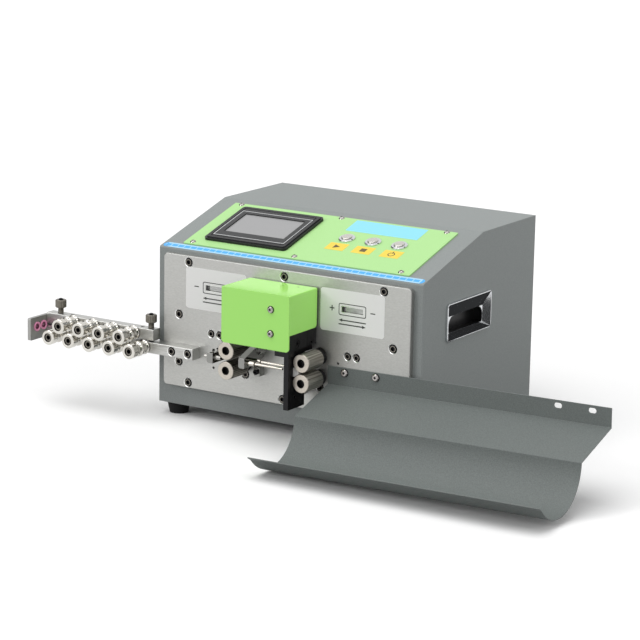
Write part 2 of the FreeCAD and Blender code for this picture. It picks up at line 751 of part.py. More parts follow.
def front_plate():
    """Thick aluminium plate that carries all the front mechanisms."""
    plate = box(PLATE_X0, PLATE_X1, -PLATE_T, 0, PLATE_Z0, PLATE_Z1)
    plate = rounded(plate, PLATE_CORNER_R, Y_AXIS)
    rim = [edge for edge in plate.Edges if edge.BoundBox.YMax < -PLATE_T + 0.01]
    plate = plate.makeChamfer(PLATE_CHAMFER, rim)
    cuts = [window_slot(x, -PLATE_T - 1, 1) for x in (WINDOW_LEFT_X, WINDOW_RIGHT_X)]
    for x in FEED_XS:
        cuts.append(rod(PLATE_BORE_D, PLATE_T + 2, (x, -PLATE_T - 1, LOWER_FEED_Z), Y_AXIS))
        for z in (UPPER_FEED_Z, UPPER_FEED_Z + LIFT_TRAVEL):
            cuts.append(rod(PLATE_BORE_D, PLATE_T + 2, (x, -PLATE_T - 1, z), Y_AXIS))
        cuts.append(box(x - PLATE_BORE_D / 2.0, x + PLATE_BORE_D / 2.0, -PLATE_T - 1, 1,
                        UPPER_FEED_Z, UPPER_FEED_Z + LIFT_TRAVEL))
    cuts.append(rod(PINION_SHAFT_D + 4.0, PLATE_T + 2, (PINION_X, -PLATE_T - 1, PINION_Z), Y_AXIS))
    cuts.append(rod(PINION_SHAFT_D + SHAFT_PLAY * 2, PLATE_T + 2, (SWING_PIVOT_X, -PLATE_T - 1, SWING_PIVOT_Z),
                    Y_AXIS))
    cuts += counterbores(plate_screw_places() + block_screw_places(), -PLATE_T, M6_HEAD_D, SUNK)
    cuts += counterbores(small_screw_places(), -PLATE_T, SMALL_HEAD_D, SMALL_SUNK)
    for x, z, diameter in open_holes():
        cuts.append(rod(diameter, PLATE_T + 2, (x, -PLATE_T - 1, z), Y_AXIS))
    for centre_x, inward in ((WINDOW_LEFT_X, 1), (WINDOW_RIGHT_X, -1)):
        x0, x1 = slider_span(centre_x, inward)
        cuts.append(box(x0 - SLIDE_PLAY, x1 + PRESSURE_TRAVEL + SLIDE_PLAY, -PLATE_T + WINDOW_SKIN, 1,
                        WINDOW_Z - SLIDER_BAR_H / 2.0 - SLIDE_PLAY, WINDOW_Z + SLIDER_BAR_H / 2.0 + SLIDE_PLAY))
    plate = plate.cut(group(cuts))
    plate = fuse(plate, *slider_rails())
    return plate.cut(group(plate_socket_screws() + straightener_mount_screws() + tray_screws()))


def slider_span(centre_x, inward):
    """Left and right end of a pressure slider's bar."""
    x0 = centre_x - WINDOW_W / 2.0 - 4.0 - PRESSURE_TRAVEL
    x1 = centre_x + WINDOW_W / 2.0 + 4.0
    return (x0, x1 + 18.0) if inward > 0 else (x0, x1)


def slider_rails():
    """Strips on the back of the plate that hold each pressure slider in its pocket."""
    rails = []
    for centre_x in (WINDOW_LEFT_X, WINDOW_RIGHT_X):
        x0 = centre_x - SLIDER_RAIL_L / 2.0
        x1 = centre_x + SLIDER_RAIL_L / 2.0
        for side in (-1.0, 1.0):
            edge = WINDOW_Z + side * (SLIDER_BAR_H / 2.0 - SLIDER_LIP)
            far = edge + side * SLIDER_RAIL_H
            rails.append(box(x0, x1, 0, SLIDER_LIP, min(edge, far), max(edge, far)))
    return rails


def plate_socket_screws():
    """Socket screws in the front plate itself."""
    screws = []
    forward = V(0, -1, 0)
    for x, z in plate_screw_places() + block_screw_places():
        screws.append(socket_screw((x, -PLATE_T + SUNK, z), forward, M6_D, M6_HEAD_D, LOW_HEAD_H, THREAD_GRIP))
    for x, z in small_screw_places():
        screws.append(socket_screw((x, -PLATE_T + SMALL_SUNK, z), forward, M5_D, SMALL_HEAD_D, 3.0, THREAD_GRIP))
    return screws


def straightener_mount_places():
    """Places of the two screws that hold the lower straightener bar."""
    z = LOWER_BAR_Z0 + BAR_H / 2.0
    return [(LOWER_BAR_X1 - 33.7, z), (LOWER_BAR_X1 - 8.2, z)]


def straightener_mount_screws():
    """Two socket screws let into the lower straightener bar."""
    seat = BAR_FRONT_Y + SUNK
    grip = BAR_T + PLATE_T - SUNK
    return [socket_screw((x, seat, z), V(0, -1, 0), M6_D, M6_HEAD_D, LOW_HEAD_H, grip)
            for x, z in straightener_mount_places()]


def stop_screw():
    """The socket screw in the front of the stop block."""
    x, y, z = stop_block_corner()
    return socket_screw((x + 4.5, y, z + 6.0), V(0, -1, 0), M5_D, SMALL_HEAD_D * 0.85, 3.5, 8.0)


# Guides on the front plate

def stop_block_corner():
    """Left front bottom corner of the stop block."""
    return (SWING_BLOCK_X + 0.8, -PLATE_T - 11.0, 62.0)


def guide_blocks():
    """Input guide block on its stem, and the stop block under the swing guide."""
    y0 = WIRE_MID_Y - GUIDE_BLOCK_L / 2.0
    x0 = GUIDE_BLOCK_X
    x1 = x0 + GUIDE_BLOCK_W
    z0 = WIRE_Z - GUIDE_BLOCK_H / 2.0
    head = rounded(box(x0, x1, y0, y0 + GUIDE_BLOCK_L, z0, z0 + GUIDE_BLOCK_H), BLOCK_ROUND, Y_AXIS,
                   lambda p: p.x < x0 + 1)
    stem = box(x0 + 1, x1 - 1, y0 + GUIDE_BLOCK_L - 1, -PLATE_T, z0 + 2, z0 + GUIDE_BLOCK_H - 2)
    block = fuse(head, stem)
    for y in WIRE_YS:
        block = block.cut(rod(COLLAR_D, GUIDE_BLOCK_W + 2, (x0 - 1, y, WIRE_Z), X_AXIS))
    x, y, z = stop_block_corner()
    stop = rounded(box(x, x + 9.0, y, -PLATE_T, z, z + 12.5), 1.0, Y_AXIS)
    return group([block, stop.cut(stop_screw())])


def input_nozzles():
    """Two nozzles through the guide block, pointing into the input rollers' nip."""
    nozzles = []
    x0 = GUIDE_BLOCK_X
    for y in WIRE_YS:
        body = rod(COLLAR_D, GUIDE_BLOCK_W + 1, (x0 - 1, y, WIRE_Z), X_AXIS)
        tail = rod(TUBE_D + 1.2, 8.0, (x0 - 8, y, WIRE_Z), X_AXIS)
        nose = Part.makeCone(COLLAR_D / 2.0, TUBE_D / 2.0 + 0.6, 8.0, V(x0 + GUIDE_BLOCK_W, y, WIRE_Z), X_AXIS)
        bore = rod(TUBE_D, GUIDE_BLOCK_W + 24, (x0 - 9, y, WIRE_Z), X_AXIS)
        nozzles.append(fuse(body, tail, nose).cut(bore))
    return group(nozzles)


def swing_arm():
    """Arm on a shaft through the plate; its block carries the two guide tubes."""
    x0 = SWING_BLOCK_X
    x1 = x0 + GUIDE_BLOCK_W
    y0 = WIRE_MID_Y - GUIDE_BLOCK_L / 2.0
    y1 = -PLATE_T - 1.0
    z0 = WIRE_Z - GUIDE_BLOCK_H / 2.0
    z1 = z0 + GUIDE_BLOCK_H
    side = [(y0, z0), (y0 + GUIDE_BLOCK_L, z0), (y1, z1 - SWING_ARM_T), (y1, SWING_PIVOT_Z + SWING_HUB_D * 0.3),
            (y1 - 12.0, SWING_PIVOT_Z + SWING_HUB_D * 0.3), (y0, z1)]
    arm = prism_yz(side, x0, x1)
    front_end = box(x0, x1, y0 - 1, y0 + 10, z0, z1)
    arm = arm.cut(front_end.cut(rounded(front_end, BLOCK_ROUND, Y_AXIS, lambda p: p.x < x0 + 1)))
    hub = rod(SWING_HUB_D, 12.0, (SWING_PIVOT_X, y1 - 12.0, SWING_PIVOT_Z), Y_AXIS)
    shaft = rod(PINION_SHAFT_D, 12.0 + PLATE_T + 14.0, (SWING_PIVOT_X, y1 - 12.0, SWING_PIVOT_Z), Y_AXIS)
    lever = box(SWING_PIVOT_X - 4, SWING_PIVOT_X + 4, 6, 11, SWING_PIVOT_Z, SWING_PIVOT_Z + 22)
    arm = fuse(arm, hub, shaft, lever)
    for y in WIRE_YS:
        arm = arm.cut(rod(COLLAR_D, GUIDE_BLOCK_W + 2, (x0 - 1, y, WIRE_Z), X_AXIS))
    for x in (SWING_PIVOT_X - 4.2, SWING_PIVOT_X + 4.2):
        head = socket_screw((x, y1 - 12.0, SWING_PIVOT_Z + 2.0), V(0, -1, 0), 3.0, 5.0, 2.5, 5.0)
        arm = fuse(arm, head)
    return arm


def swing_tubes():
    """Two silver guide tubes, pressed into collars in the swing arm's block."""
    tubes = []
    x0 = SWING_BLOCK_X - 4.0
    for y in WIRE_YS:
        collar = rod(COLLAR_D, GUIDE_BLOCK_W + COLLAR_L, (SWING_BLOCK_X, y, WIRE_Z), X_AXIS)
        tube = rod(TUBE_D, TUBE_END_X - x0, (x0, y, WIRE_Z), X_AXIS)
        bore = rod(TUBE_BORE_D, TUBE_END_X - x0 + 2, (x0 - 1, y, WIRE_Z), X_AXIS)
        tubes.append(fuse(collar, tube).cut(bore))
    return group(tubes)


# Feed rollers

def feed_roller(x, z):
    """A roller sleeve on its shaft, as far as the collar in front of the plate."""
    y0 = FEED_FRONT_Y
    sleeve = rod(FEED_ROLLER_D, FEED_ROLLER_L, (x, y0, z), Y_AXIS)
    for y in (y0, y0 + FEED_ROLLER_L):
        sleeve = sleeve.makeChamfer(0.6, [edge_at(sleeve, V(x, y, z))])
    sleeve = sleeve.cut(rod(FEED_RECESS_D, FEED_RECESS_L, (x, y0, z), Y_AXIS))
    return sleeve.cut(rod(FEED_SHAFT_D, FEED_ROLLER_L, (x, y0, z), Y_AXIS))


def feed_shaft(x, z, lower):
    """A feed shaft: collar behind the roller, journal through the plate, gear behind the block's wall."""
    y0 = FEED_FRONT_Y + FEED_RECESS_L * 0.6
    back = GEAR_Y0 + GEAR_W + 1.0
    if lower:
        back = BLOCK_REAR_Y - 2.0
    shaft = rod(FEED_SHAFT_D, back - y0, (x, y0, z), Y_AXIS)
    collar_y = FEED_FRONT_Y + FEED_ROLLER_L
    collar = rod(SHAFT_COLLAR_D, -PLATE_T * 0.5 - collar_y, (x, collar_y, z), Y_AXIS)
    phase = 90.0 if lower else -90.0 + 180.0 / GEAR_TEETH
    wheel = gear(GEAR_MODULE, GEAR_TEETH, GEAR_W, 0, (x, GEAR_Y0, z), phase)
    shaft = fuse(shaft, collar, wheel)
    shaft = shaft.cut(hexagon(5.0, 4.0, (x, y0 - 0.1, z), Y_AXIS))
    if lower:
        shaft = shaft.cut(rod(MOTOR_SHAFT_D + SHAFT_PLAY * 2, MOTOR_SHAFT_L + 1, (x, back - MOTOR_SHAFT_L + 1, z), Y_AXIS))
    return shaft


def feed_block(x):
    """Aluminium block behind the plate: lower bearing seats, channel of the sliding block, motor face."""
    x0 = x - BLOCK_W / 2.0
    x1 = x + BLOCK_W / 2.0
    block = box(x0, x1, 0, BLOCK_REAR_Y, BLOCK_BOTTOM, BLOCK_TOP)
    room = box(x0 - 1, x1 + 1, BLOCK_FRONT_T, BLOCK_FRONT_T + BLOCK_GEAR_ROOM,
               BLOCK_BOTTOM + BLOCK_FLOOR, BLOCK_TOP + 1)
    half = SLIDER_BLOCK_W / 2.0 + SLIDE_PLAY
    channel = box(x - half, x + half, -1, BLOCK_FRONT_T + 1,
                  UPPER_FEED_Z - SLIDER_BLOCK_H / 2.0 - SLIDE_PLAY, BLOCK_TOP + 1)
    lower = rod(FEED_SHAFT_D + 2, BLOCK_REAR_Y + 2, (x, -1, LOWER_FEED_Z), Y_AXIS)
    seats = [rod(BEARING_D, BEARING_T, (x, y, LOWER_FEED_Z), Y_AXIS) for y in (0, BLOCK_FRONT_T - BEARING_T)]
    screw = rod(M6_D, THREAD_GRIP, (x, -1, LOWER_FEED_Z - 13.8), Y_AXIS)
    return block.cut(group([room, channel, lower, screw] + seats))


def feed_bearings(x):
    """The two ball bearings of a lower feed shaft, as plain rings."""
    return [ring(BEARING_D, FEED_SHAFT_D + SHAFT_PLAY * 2, BEARING_T, (x, y, LOWER_FEED_Z), Y_AXIS)
            for y in (0, BLOCK_FRONT_T - BEARING_T)]


def feed_blocks():
    """Both feed blocks with their bearings."""
    solids = []
    for x in FEED_XS:
        solids.append(feed_block(x))
        solids += feed_bearings(x)
    return group(solids)


def spring(x, y, z0):
    """Helical pressure spring on top of a sliding block."""
    path = Part.makeHelix(SPRING_L / SPRING_TURNS, SPRING_L, (SPRING_D - SPRING_WIRE) / 2.0)
    start = V((SPRING_D - SPRING_WIRE) / 2.0, 0, 0)
    section = Part.Wire(Part.makeCircle(SPRING_WIRE / 2.0, start, Y_AXIS))
    coil = Part.Wire(path.Edges).makePipeShell([section], True, False)
    coil.translate(V(x, y, z0 + SPRING_WIRE / 2.0))
    return coil


def upper_bearing_block(x):
    """Sliding block of an upper roller, with its guide stem and pressure spring."""
    half_w = SLIDER_BLOCK_W / 2.0
    half_h = SLIDER_BLOCK_H / 2.0
    top = UPPER_FEED_Z + half_h
    block = box(x - half_w, x + half_w, 0.3, BLOCK_FRONT_T - 0.3, UPPER_FEED_Z - half_h, top)
    bore = rod(FEED_SHAFT_D + SHAFT_PLAY * 2, BLOCK_FRONT_T, (x, 0, UPPER_FEED_Z), Y_AXIS)
    middle_y = BLOCK_FRONT_T / 2.0
    stem = rod(SPRING_D - 2 * SPRING_WIRE - 1.0, SPRING_L + 4.0, (x, middle_y, top), Z_AXIS)
    return group([fuse(block.cut(bore), stem), spring(x, middle_y, top)])


def pressure_slider(centre_x, inward):
    """Steel bar behind a scale window; its black tab stands in the window at the window's left end."""
    tab_x = centre_x - WINDOW_W / 2.0 + 1.6
    x0, x1 = slider_span(centre_x, inward)
    z0 = WINDOW_Z - SLIDER_BAR_H / 2.0
    bar_y = -PLATE_T + WINDOW_SKIN + SLIDE_PLAY
    bar = box(x0, x1, bar_y, -SLIDE_PLAY, z0, z0 + SLIDER_BAR_H)
    tab = box(tab_x, tab_x + TAB_W, -PLATE_T + 1.0, bar_y + 1.0, WINDOW_Z - TAB_H / 2.0,
              WINDOW_Z + TAB_H / 2.0)
    return fuse(bar, tab)


# Blade head

def blade_head_frame():
    """Black side plate with the carriage rail, its thick upper cheek and the post behind the cover."""
    leg = box(HEAD_PLATE_X0, HEAD_PLATE_X1, HEAD_FRONT_Y, HEAD_LEG_BACK_Y, HEAD_LEG_Z0, HEAD_TOP_Z)
    cheek = box(HEAD_PLATE_X0, HEAD_CHEEK_X1, HEAD_CHEEK_FRONT_Y, -PLATE_T, HEAD_CHEEK_Z0, HEAD_TOP_Z)
    post = box(HEAD_POST_X0, HEAD_PLATE_X1, HEAD_CHEEK_FRONT_Y, HEAD_CHEEK_FRONT_Y + HEAD_POST_T,
               HEAD_POST_Z0, HEAD_TOP_Z)
    ledge = box(HEAD_LEDGE_X0, HEAD_CHEEK_X1, HEAD_CHEEK_FRONT_Y, HEAD_CHEEK_FRONT_Y + HEAD_POST_T,
                HEAD_LEDGE_Z0, HEAD_POST_Z0)
    rail = box(HEAD_PLATE_X0 - RAIL_H, HEAD_PLATE_X0, WIRE_MID_Y - RAIL_W / 2.0, WIRE_MID_Y + RAIL_W / 2.0,
               HEAD_LEG_Z0 + 4, HEAD_TOP_Z - 6)
    web = box(HEAD_PLATE_X0, HEAD_CHEEK_X1, HEAD_CHEEK_FRONT_Y, HEAD_FRONT_Y + 2, HEAD_LEDGE_Z0, HEAD_CHEEK_Z0 + 1)
    wing = box(HEAD_PLATE_X0, HEAD_PLATE_X1, HEAD_LEG_BACK_Y - 1, -PLATE_T, HEAD_WING_Z0, HEAD_CHEEK_Z0 + 1)
    frame = fuse(leg, cheek, post, ledge, web, rail, wing)
    for y in WIRE_YS:
        frame = frame.cut(rod(WIRE_HOLE_D, HEAD_PLATE_T + 8, (HEAD_PLATE_X0 - 4, y, WIRE_Z), X_AXIS))
    frame = frame.cut(group(cheek_cuts()))
    return frame.cut(group(cover_screws()))


def cheek_cuts():
    """Bores of the side plate's right faces: a countersunk screw's seat, two small holes and the joint line."""
    y, z = -52.4, 124.0
    out_x = HEAD_CHEEK_X1
    seat = rod(10.5, 3.0, (out_x - 3.0, y, z), X_AXIS)
    head = rod(8.6, 2.4, (out_x - 3.0, y, z), X_AXIS).cut(hexagon(4.0, 3.0, (out_x - 2.2, y, z), X_AXIS))
    line = box(out_x - 0.6, out_x + 1, -30.9, -30.1, HEAD_CHEEK_Z0 - 1, HEAD_TOP_Z + 1)
    return [seat.cut(head), rod(3.4, 4.0, (out_x - 4.0, -19.6, 119.8), X_AXIS),
            rod(2.6, 4.0, (HEAD_PLATE_X1 - 4.0, -47.7, 52.8), X_AXIS), line]


def carriage_x():
    """Front and back of a blade carriage, measured in x: its rail face and its blade face."""
    return HEAD_PLATE_X0 - RAIL_PLAY - 0.3


def blade(upper):
    """A blade with one V notch per wire; the upper one runs in front of the lower one."""
    rest = WIRE_Z + BLADE_OPEN if upper else WIRE_Z - BLADE_OPEN
    sign = 1.0 if upper else -1.0
    x1 = HEAD_PLATE_X0 - 5.0 - (BLADE_T + BLADE_GAP if upper else 0.0)
    y0 = WIRE_MID_Y - BLADE_W / 2.0
    tip = rest - sign * 0.0
    far = rest + sign * BLADE_H
    points = [(y0, far), (y0, tip)]
    for y in WIRE_YS:
        points += [(y - BLADE_NOTCH, tip), (y, tip + sign * BLADE_NOTCH), (y + BLADE_NOTCH, tip)]
    points += [(y0 + BLADE_W, tip), (y0 + BLADE_W, far)]
    return prism_yz(points, x1 - BLADE_T, x1)


def carriage_pad(upper):
    """The block that carries a blade and runs on the rail."""
    x1 = carriage_x()
    x0 = HEAD_PLATE_X0 - 5.0 - (BLADE_T + BLADE_GAP if upper else 0.0)
    z_edge = WIRE_Z + BLADE_OPEN + BLADE_NOTCH + 3.0
    z0 = z_edge if upper else 2 * WIRE_Z - z_edge - CARRIAGE_H
    return box(x0, x1, WIRE_MID_Y - BLADE_W / 2.0, WIRE_MID_Y + BLADE_W / 2.0, z0, z0 + CARRIAGE_H)


def rail_groove():
    """Clearance for the rail in a carriage."""
    half = RAIL_W / 2.0 + RAIL_PLAY
    return box(HEAD_PLATE_X0 - RAIL_H - RAIL_PLAY, HEAD_PLATE_X0 + 1, WIRE_MID_Y - half, WIRE_MID_Y + half,
               0, HOUSING_H)


def upper_carriage():
    """Upper carriage: pad, and an arm back to the rack on the right of the pinion."""
    pad = carriage_pad(True)
    edge = pad.BoundBox
    rack_y0 = -PLATE_T - 1.0 - PINION_W
    rack_z0 = PINION_Z - RACK_L / 2.0
    teeth = rack(1, rack_y0, rack_y0 + PINION_W, rack_z0 - 4, rack_z0 + RACK_L)
    root_x = PINION_X + PINION_R + 1.25 * PINION_MODULE
    arm = box(root_x, carriage_x(), WIRE_MID_Y, rack_y0 + PINION_W, edge.ZMin + 4, rack_z0 + 4)
    return fuse(pad.cut(rail_groove()), arm.cut(rail_groove()), teeth.common(box(0, carriage_x(), COVER_Y0, 0, 0, HOUSING_H)))


def lower_carriage():
    """Lower carriage: pad, foot and the bar behind the wires up to the rack on the left of the pinion."""
    pad = carriage_pad(False)
    edge = pad.BoundBox
    rack_y0 = -PLATE_T - 1.0 - PINION_W
    rack_z0 = PINION_Z - RACK_L / 2.0
    root_x = PINION_X - PINION_R - 1.25 * PINION_MODULE
    back_x = root_x - RACK_BODY_T
    foot = box(back_x, edge.XMax, rack_y0, rack_y0 + PINION_W, edge.ZMin, edge.ZMin + 12)
    bridge = box(edge.XMin, edge.XMax, WIRE_MID_Y, rack_y0 + PINION_W, edge.ZMin, edge.ZMin + 12)
    bar = box(back_x, root_x, rack_y0, rack_y0 + PINION_W, edge.ZMin, rack_z0 + RACK_L)
    teeth = rack(-1, rack_y0, rack_y0 + PINION_W, rack_z0, rack_z0 + RACK_L)
    body = fuse(pad.cut(rail_groove()), bridge.cut(rail_groove()), foot, bar, teeth)
    return body


def blade_pinion():
    """Pinion between the two racks, on the shaft that comes through the plate from the motor."""
    y0 = -PLATE_T - 1.0 - PINION_W
    wheel = gear(PINION_MODULE, PINION_TEETH, PINION_W, 0, (PINION_X, y0, PINION_Z), 0.0)
    shaft = rod(PINION_SHAFT_D, PINION_W + 1.0 + PLATE_T + STANDOFF_L - 0.5, (PINION_X, y0, PINION_Z), Y_AXIS)
    bore = rod(5.0 + SHAFT_PLAY * 2, 13.0, (PINION_X, STANDOFF_L - 12.5, PINION_Z), Y_AXIS)
    return fuse(wheel, shaft).cut(bore)


def output_nozzle():
    """White plastic guide on the side plate, its wedge pointing into the output rollers' nip."""
    x0 = HEAD_PLATE_X1
    y0 = WIRE_MID_Y - 13.0
    half = 5.6
    points = [(x0, WIRE_Z - half), (x0 + 2.3, WIRE_Z - half), (x0 + 7.8, WIRE_Z - 1.7), (x0 + 7.8, WIRE_Z + 1.7),
              (x0 + 2.3, WIRE_Z + half), (x0, WIRE_Z + half)]
    body = prism_xz(points, y0, y0 + 26.0)
    for y in WIRE_YS:
        body = body.cut(rod(TUBE_D, 20.0, (x0 - 1, y, WIRE_Z), X_AXIS))
    return body


def head_cover():
    """Bent green sheet over the blade head: front, top and right side."""
    front = box(COVER_X0, COVER_X1, COVER_Y0, COVER_Y0 + COVER_T, COVER_Z0, COVER_Z1)
    front = rounded(front, COVER_CORNER_R, Y_AXIS, lambda p: p.z < COVER_Z1 - 1)
    top = box(COVER_X0, COVER_X1, COVER_Y0, COVER_BACK_Y, COVER_Z1 - COVER_T, COVER_Z1)
    side = box(COVER_X1 - COVER_T, COVER_X1, COVER_Y0, COVER_BACK_Y, COVER_SIDE_Z0, COVER_Z1)
    side = rounded(side, COVER_CORNER_R, X_AXIS, lambda p: p.z < COVER_SIDE_Z0 + 1 and p.y > -20)
    cover = fuse(front, top, side)
    cover = rounded(cover, COVER_T, Y_AXIS, lambda p: p.x > COVER_X1 - 0.1 and p.z > COVER_Z1 - 0.1)
    for x, y in COVER_HOLES:
        cover = cover.cut(rod(3.0, COVER_T + 2, (x, y, COVER_Z1 - COVER_T - 1), Z_AXIS))
    return cover.cut(group(cover_screws()))


def cover_screws():
    """Chrome button-head screws through the cover's front."""
    return [button_screw((COVER_SCREW_X, COVER_Y0, z), V(0, -1, 0), M5_D, M5_HEAD_D * 0.85, M5_HEAD_H,
                         COVER_T + HEAD_POST_T - 1, 3.0) for z in COVER_SCREW_ZS]


# Straightener

def groove_cut(x, z):
    """The two rounded wire grooves of a straightener roller, as rings to cut away."""
    half = ROLLER_GROOVE_W / 2.0
    minor = (half ** 2 + ROLLER_GROOVE_DEPTH ** 2) / (2.0 * ROLLER_GROOVE_DEPTH)
    major = ROLLER_D / 2.0 - ROLLER_GROOVE_DEPTH + minor
    return [Part.makeTorus(major, minor, V(x, y, z), Y_AXIS) for y in WIRE_YS]


def straightener_roller(x, z):
    """Grooved roller with a recess for its axle screw's head."""
    roller = rod(ROLLER_D, ROLLER_L, (x, ROLLER_FRONT_Y, z), Y_AXIS)
    for y in (ROLLER_FRONT_Y, ROLLER_BACK_Y):
        roller = roller.makeChamfer(0.8, [edge_at(roller, V(x, y, z))])
    bore = rod(ROLLER_BORE_D + ROLLER_PLAY * 2, ROLLER_L, (x, ROLLER_FRONT_Y, z), Y_AXIS)
    recess = rod(AXLE_HEAD_D + AXLE_CLEARANCE * 2, AXLE_SUNK + AXLE_HEAD_H + 0.4, (x, ROLLER_FRONT_Y, z), Y_AXIS)
    for cut in [bore, recess] + groove_cut(x, z):
        roller = roller.cut(cut)
    return roller


def axle_screw(x, z):
    """Shoulder screw that a straightener roller turns on, with its dark washer against the bar."""
    head_y = ROLLER_FRONT_Y + AXLE_SUNK + AXLE_HEAD_H
    shoulder = rod(ROLLER_BORE_D, BAR_FRONT_Y - head_y, (x, head_y, z), Y_AXIS)
    screw = socket_screw((x, head_y, z), V(0, -1, 0), M6_D, AXLE_HEAD_D, AXLE_HEAD_H, BAR_FRONT_Y - head_y + 12.0)
    washer = ring(ROLLER_D * 0.8, M6_D, ROLLER_GAP - 0.2, (x, BAR_FRONT_Y - ROLLER_GAP + 0.2, z), Y_AXIS)
    return fuse(screw, shoulder, washer)


def axle_thread_holes(xs, z):
    """Threaded holes in a bar for the axle screws."""
    return [rod(M6_D, 12.0, (x, BAR_FRONT_Y, z), Y_AXIS) for x in xs]


def straightener_lower_bar():
    """Fixed bar, bored for its axles, mounting screws, adjusting screws, with two guide dowels."""
    z1 = LOWER_BAR_Z0 + BAR_H
    bar = box(BAR_LEFT_X, LOWER_BAR_X1, BAR_FRONT_Y, -PLATE_T, LOWER_BAR_Z0, z1)
    bar = rounded(bar, 1.0, X_AXIS)
    mid_y = (BAR_FRONT_Y - PLATE_T) / 2.0
    cuts = axle_thread_holes(LOWER_ROLLER_XS, LOWER_BAR_Z0 + BAR_H / 2.0)
    for x in ADJUST_X:
        cuts.append(rod(ADJUST_D * 0.75 + SHAFT_PLAY * 2, 6.0, (x, mid_y, z1 - 6.0), Z_AXIS))
    cuts += counterbores(straightener_mount_places(), BAR_FRONT_Y, M6_HEAD_D, SUNK)
    bar = bar.cut(group(cuts + straightener_mount_screws()))
    dowels = [rod(DOWEL_D, 6.0 + BAR_GAP + BAR_H * 0.7, (x, mid_y, z1 - 6.0), Z_AXIS) for x in dowel_xs()]
    return fuse(bar, *dowels)


def dowel_xs():
    """Guide dowels stand between the axles."""
    return (LOWER_ROLLER_XS[0] + ROLLER_PITCH * 0.25, LOWER_ROLLER_XS[-1] - ROLLER_PITCH * 0.25)


def straightener_upper_bar():
    """Bar that the adjusting screws raise and lower on the dowels."""
    bar = box(BAR_LEFT_X + 0.3, UPPER_BAR_X1, BAR_FRONT_Y, UPPER_BAR_BACK_Y, UPPER_BAR_Z0, UPPER_BAR_Z0 + BAR_H)
    bar = rounded(bar, 1.0, X_AXIS)
    mid_y = (BAR_FRONT_Y - PLATE_T) / 2.0
    cuts = axle_thread_holes(UPPER_ROLLER_XS, UPPER_BAR_Z0 + BAR_H / 2.0)
    for x in ADJUST_X:
        cuts.append(rod(ADJUST_D + SHAFT_PLAY * 2, BAR_H + 2, (x, mid_y, UPPER_BAR_Z0 - 1), Z_AXIS))
    for x in dowel_xs():
        cuts.append(rod(DOWEL_D + SHAFT_PLAY * 2, BAR_H + 2, (x, mid_y, UPPER_BAR_Z0 - 1), Z_AXIS))
    return bar.cut(group(cuts))


def adjusting_screw(x):
    """Knurled socket-head screw; its journal stands in the lower bar and its thread lifts the upper bar."""
    mid_y = (BAR_FRONT_Y - PLATE_T) / 2.0
    seat = UPPER_BAR_Z0 + BAR_H + ADJUST_SHOW
    foot = LOWER_BAR_Z0 + BAR_H - 6.0
    head = socket_screw((x, mid_y, seat), Z_AXIS, ADJUST_D, ADJUST_HEAD_D, ADJUST_HEAD_H,
                        seat - LOWER_BAR_Z0 - BAR_H - 0.3)
    journal = rod(ADJUST_D * 0.75, seat - foot - 1.0, (x, mid_y, foot + 0.01), Z_AXIS)
    return fuse(head, journal)


def entry_plate():
    """Plate across the straightener's inlet end, with the two eyelets' seats."""
    x0 = BAR_LEFT_X - ENTRY_T
    z1 = UPPER_BAR_Z0 + BAR_H - ENTRY_DROP
    plate = box(x0, BAR_LEFT_X, ENTRY_FRONT_Y, UPPER_BAR_BACK_Y, ENTRY_Z0, z1)
    plate = rounded(plate, 1.5, X_AXIS)
    for y in WIRE_YS:
        plate = plate.cut(rod(EYELET_D - 3.0, ENTRY_T + 2, (x0 - 1, y, WIRE_Z), X_AXIS))
    return plate


def entry_eyelets():
    """Flanged ceramic eyelets that the wires enter through."""
    x0 = BAR_LEFT_X - ENTRY_T
    eyelets = []
    for y in WIRE_YS:
        barrel = rod(EYELET_D - 3.0, ENTRY_T + 1.2, (x0 - 1.2, y, WIRE_Z), X_AXIS)
        flange = rod(EYELET_D, 1.2, (x0 + ENTRY_T, y, WIRE_Z), X_AXIS)
        collar = rod(EYELET_D, 1.2, (x0 - 1.2, y, WIRE_Z), X_AXIS)
        body = fuse(barrel, flange, collar)
        bore = rod(EYELET_BORE_D, EYELET_T + 4, (x0 - 2, y, WIRE_Z), X_AXIS)
        mouth = Part.makeCone(EYELET_BORE_D / 2.0, EYELET_BORE_D / 2.0 + 1.4, 1.4, V(x0 + ENTRY_T - 0.2, y, WIRE_Z),
                              X_AXIS)
        eyelets.append(body.cut(bore).cut(mouth))
    return group(eyelets)


# Output tray

def tray_path():
    """The tray's section as a line: flange, ramp, trough and lip, from its top edge."""
    fold = V(0, -PLATE_T - TRAY_T, TRAY_FOLD_Z)
    top = fold + V(0, 0, TRAY_FLANGE_H)
    ramp_end = fold + V(0, -TRAY_RAMP_Y, -TRAY_RAMP_Z)
    start = math.radians(TRAY_ARC_START)
    end = math.radians(TRAY_ARC_END)
    centre = ramp_end - V(0, math.cos(start), math.sin(start)) * TRAY_TROUGH_R
    middle = (start + end) / 2.0
    mid_point = centre + V(0, math.cos(middle), math.sin(middle)) * TRAY_TROUGH_R
    arc_end = centre + V(0, math.cos(end), math.sin(end)) * TRAY_TROUGH_R
    lip_angle = math.radians(TRAY_LIP_DEG)
    lip_end = arc_end + V(0, math.cos(lip_angle), math.sin(lip_angle)) * TRAY_LIP
    return Part.Wire([
        Part.makeLine(top, fold),
        Part.makeLine(fold, ramp_end),
        Part.Arc(ramp_end, mid_point, arc_end).toShape(),
        Part.makeLine(arc_end, lip_end),
    ])


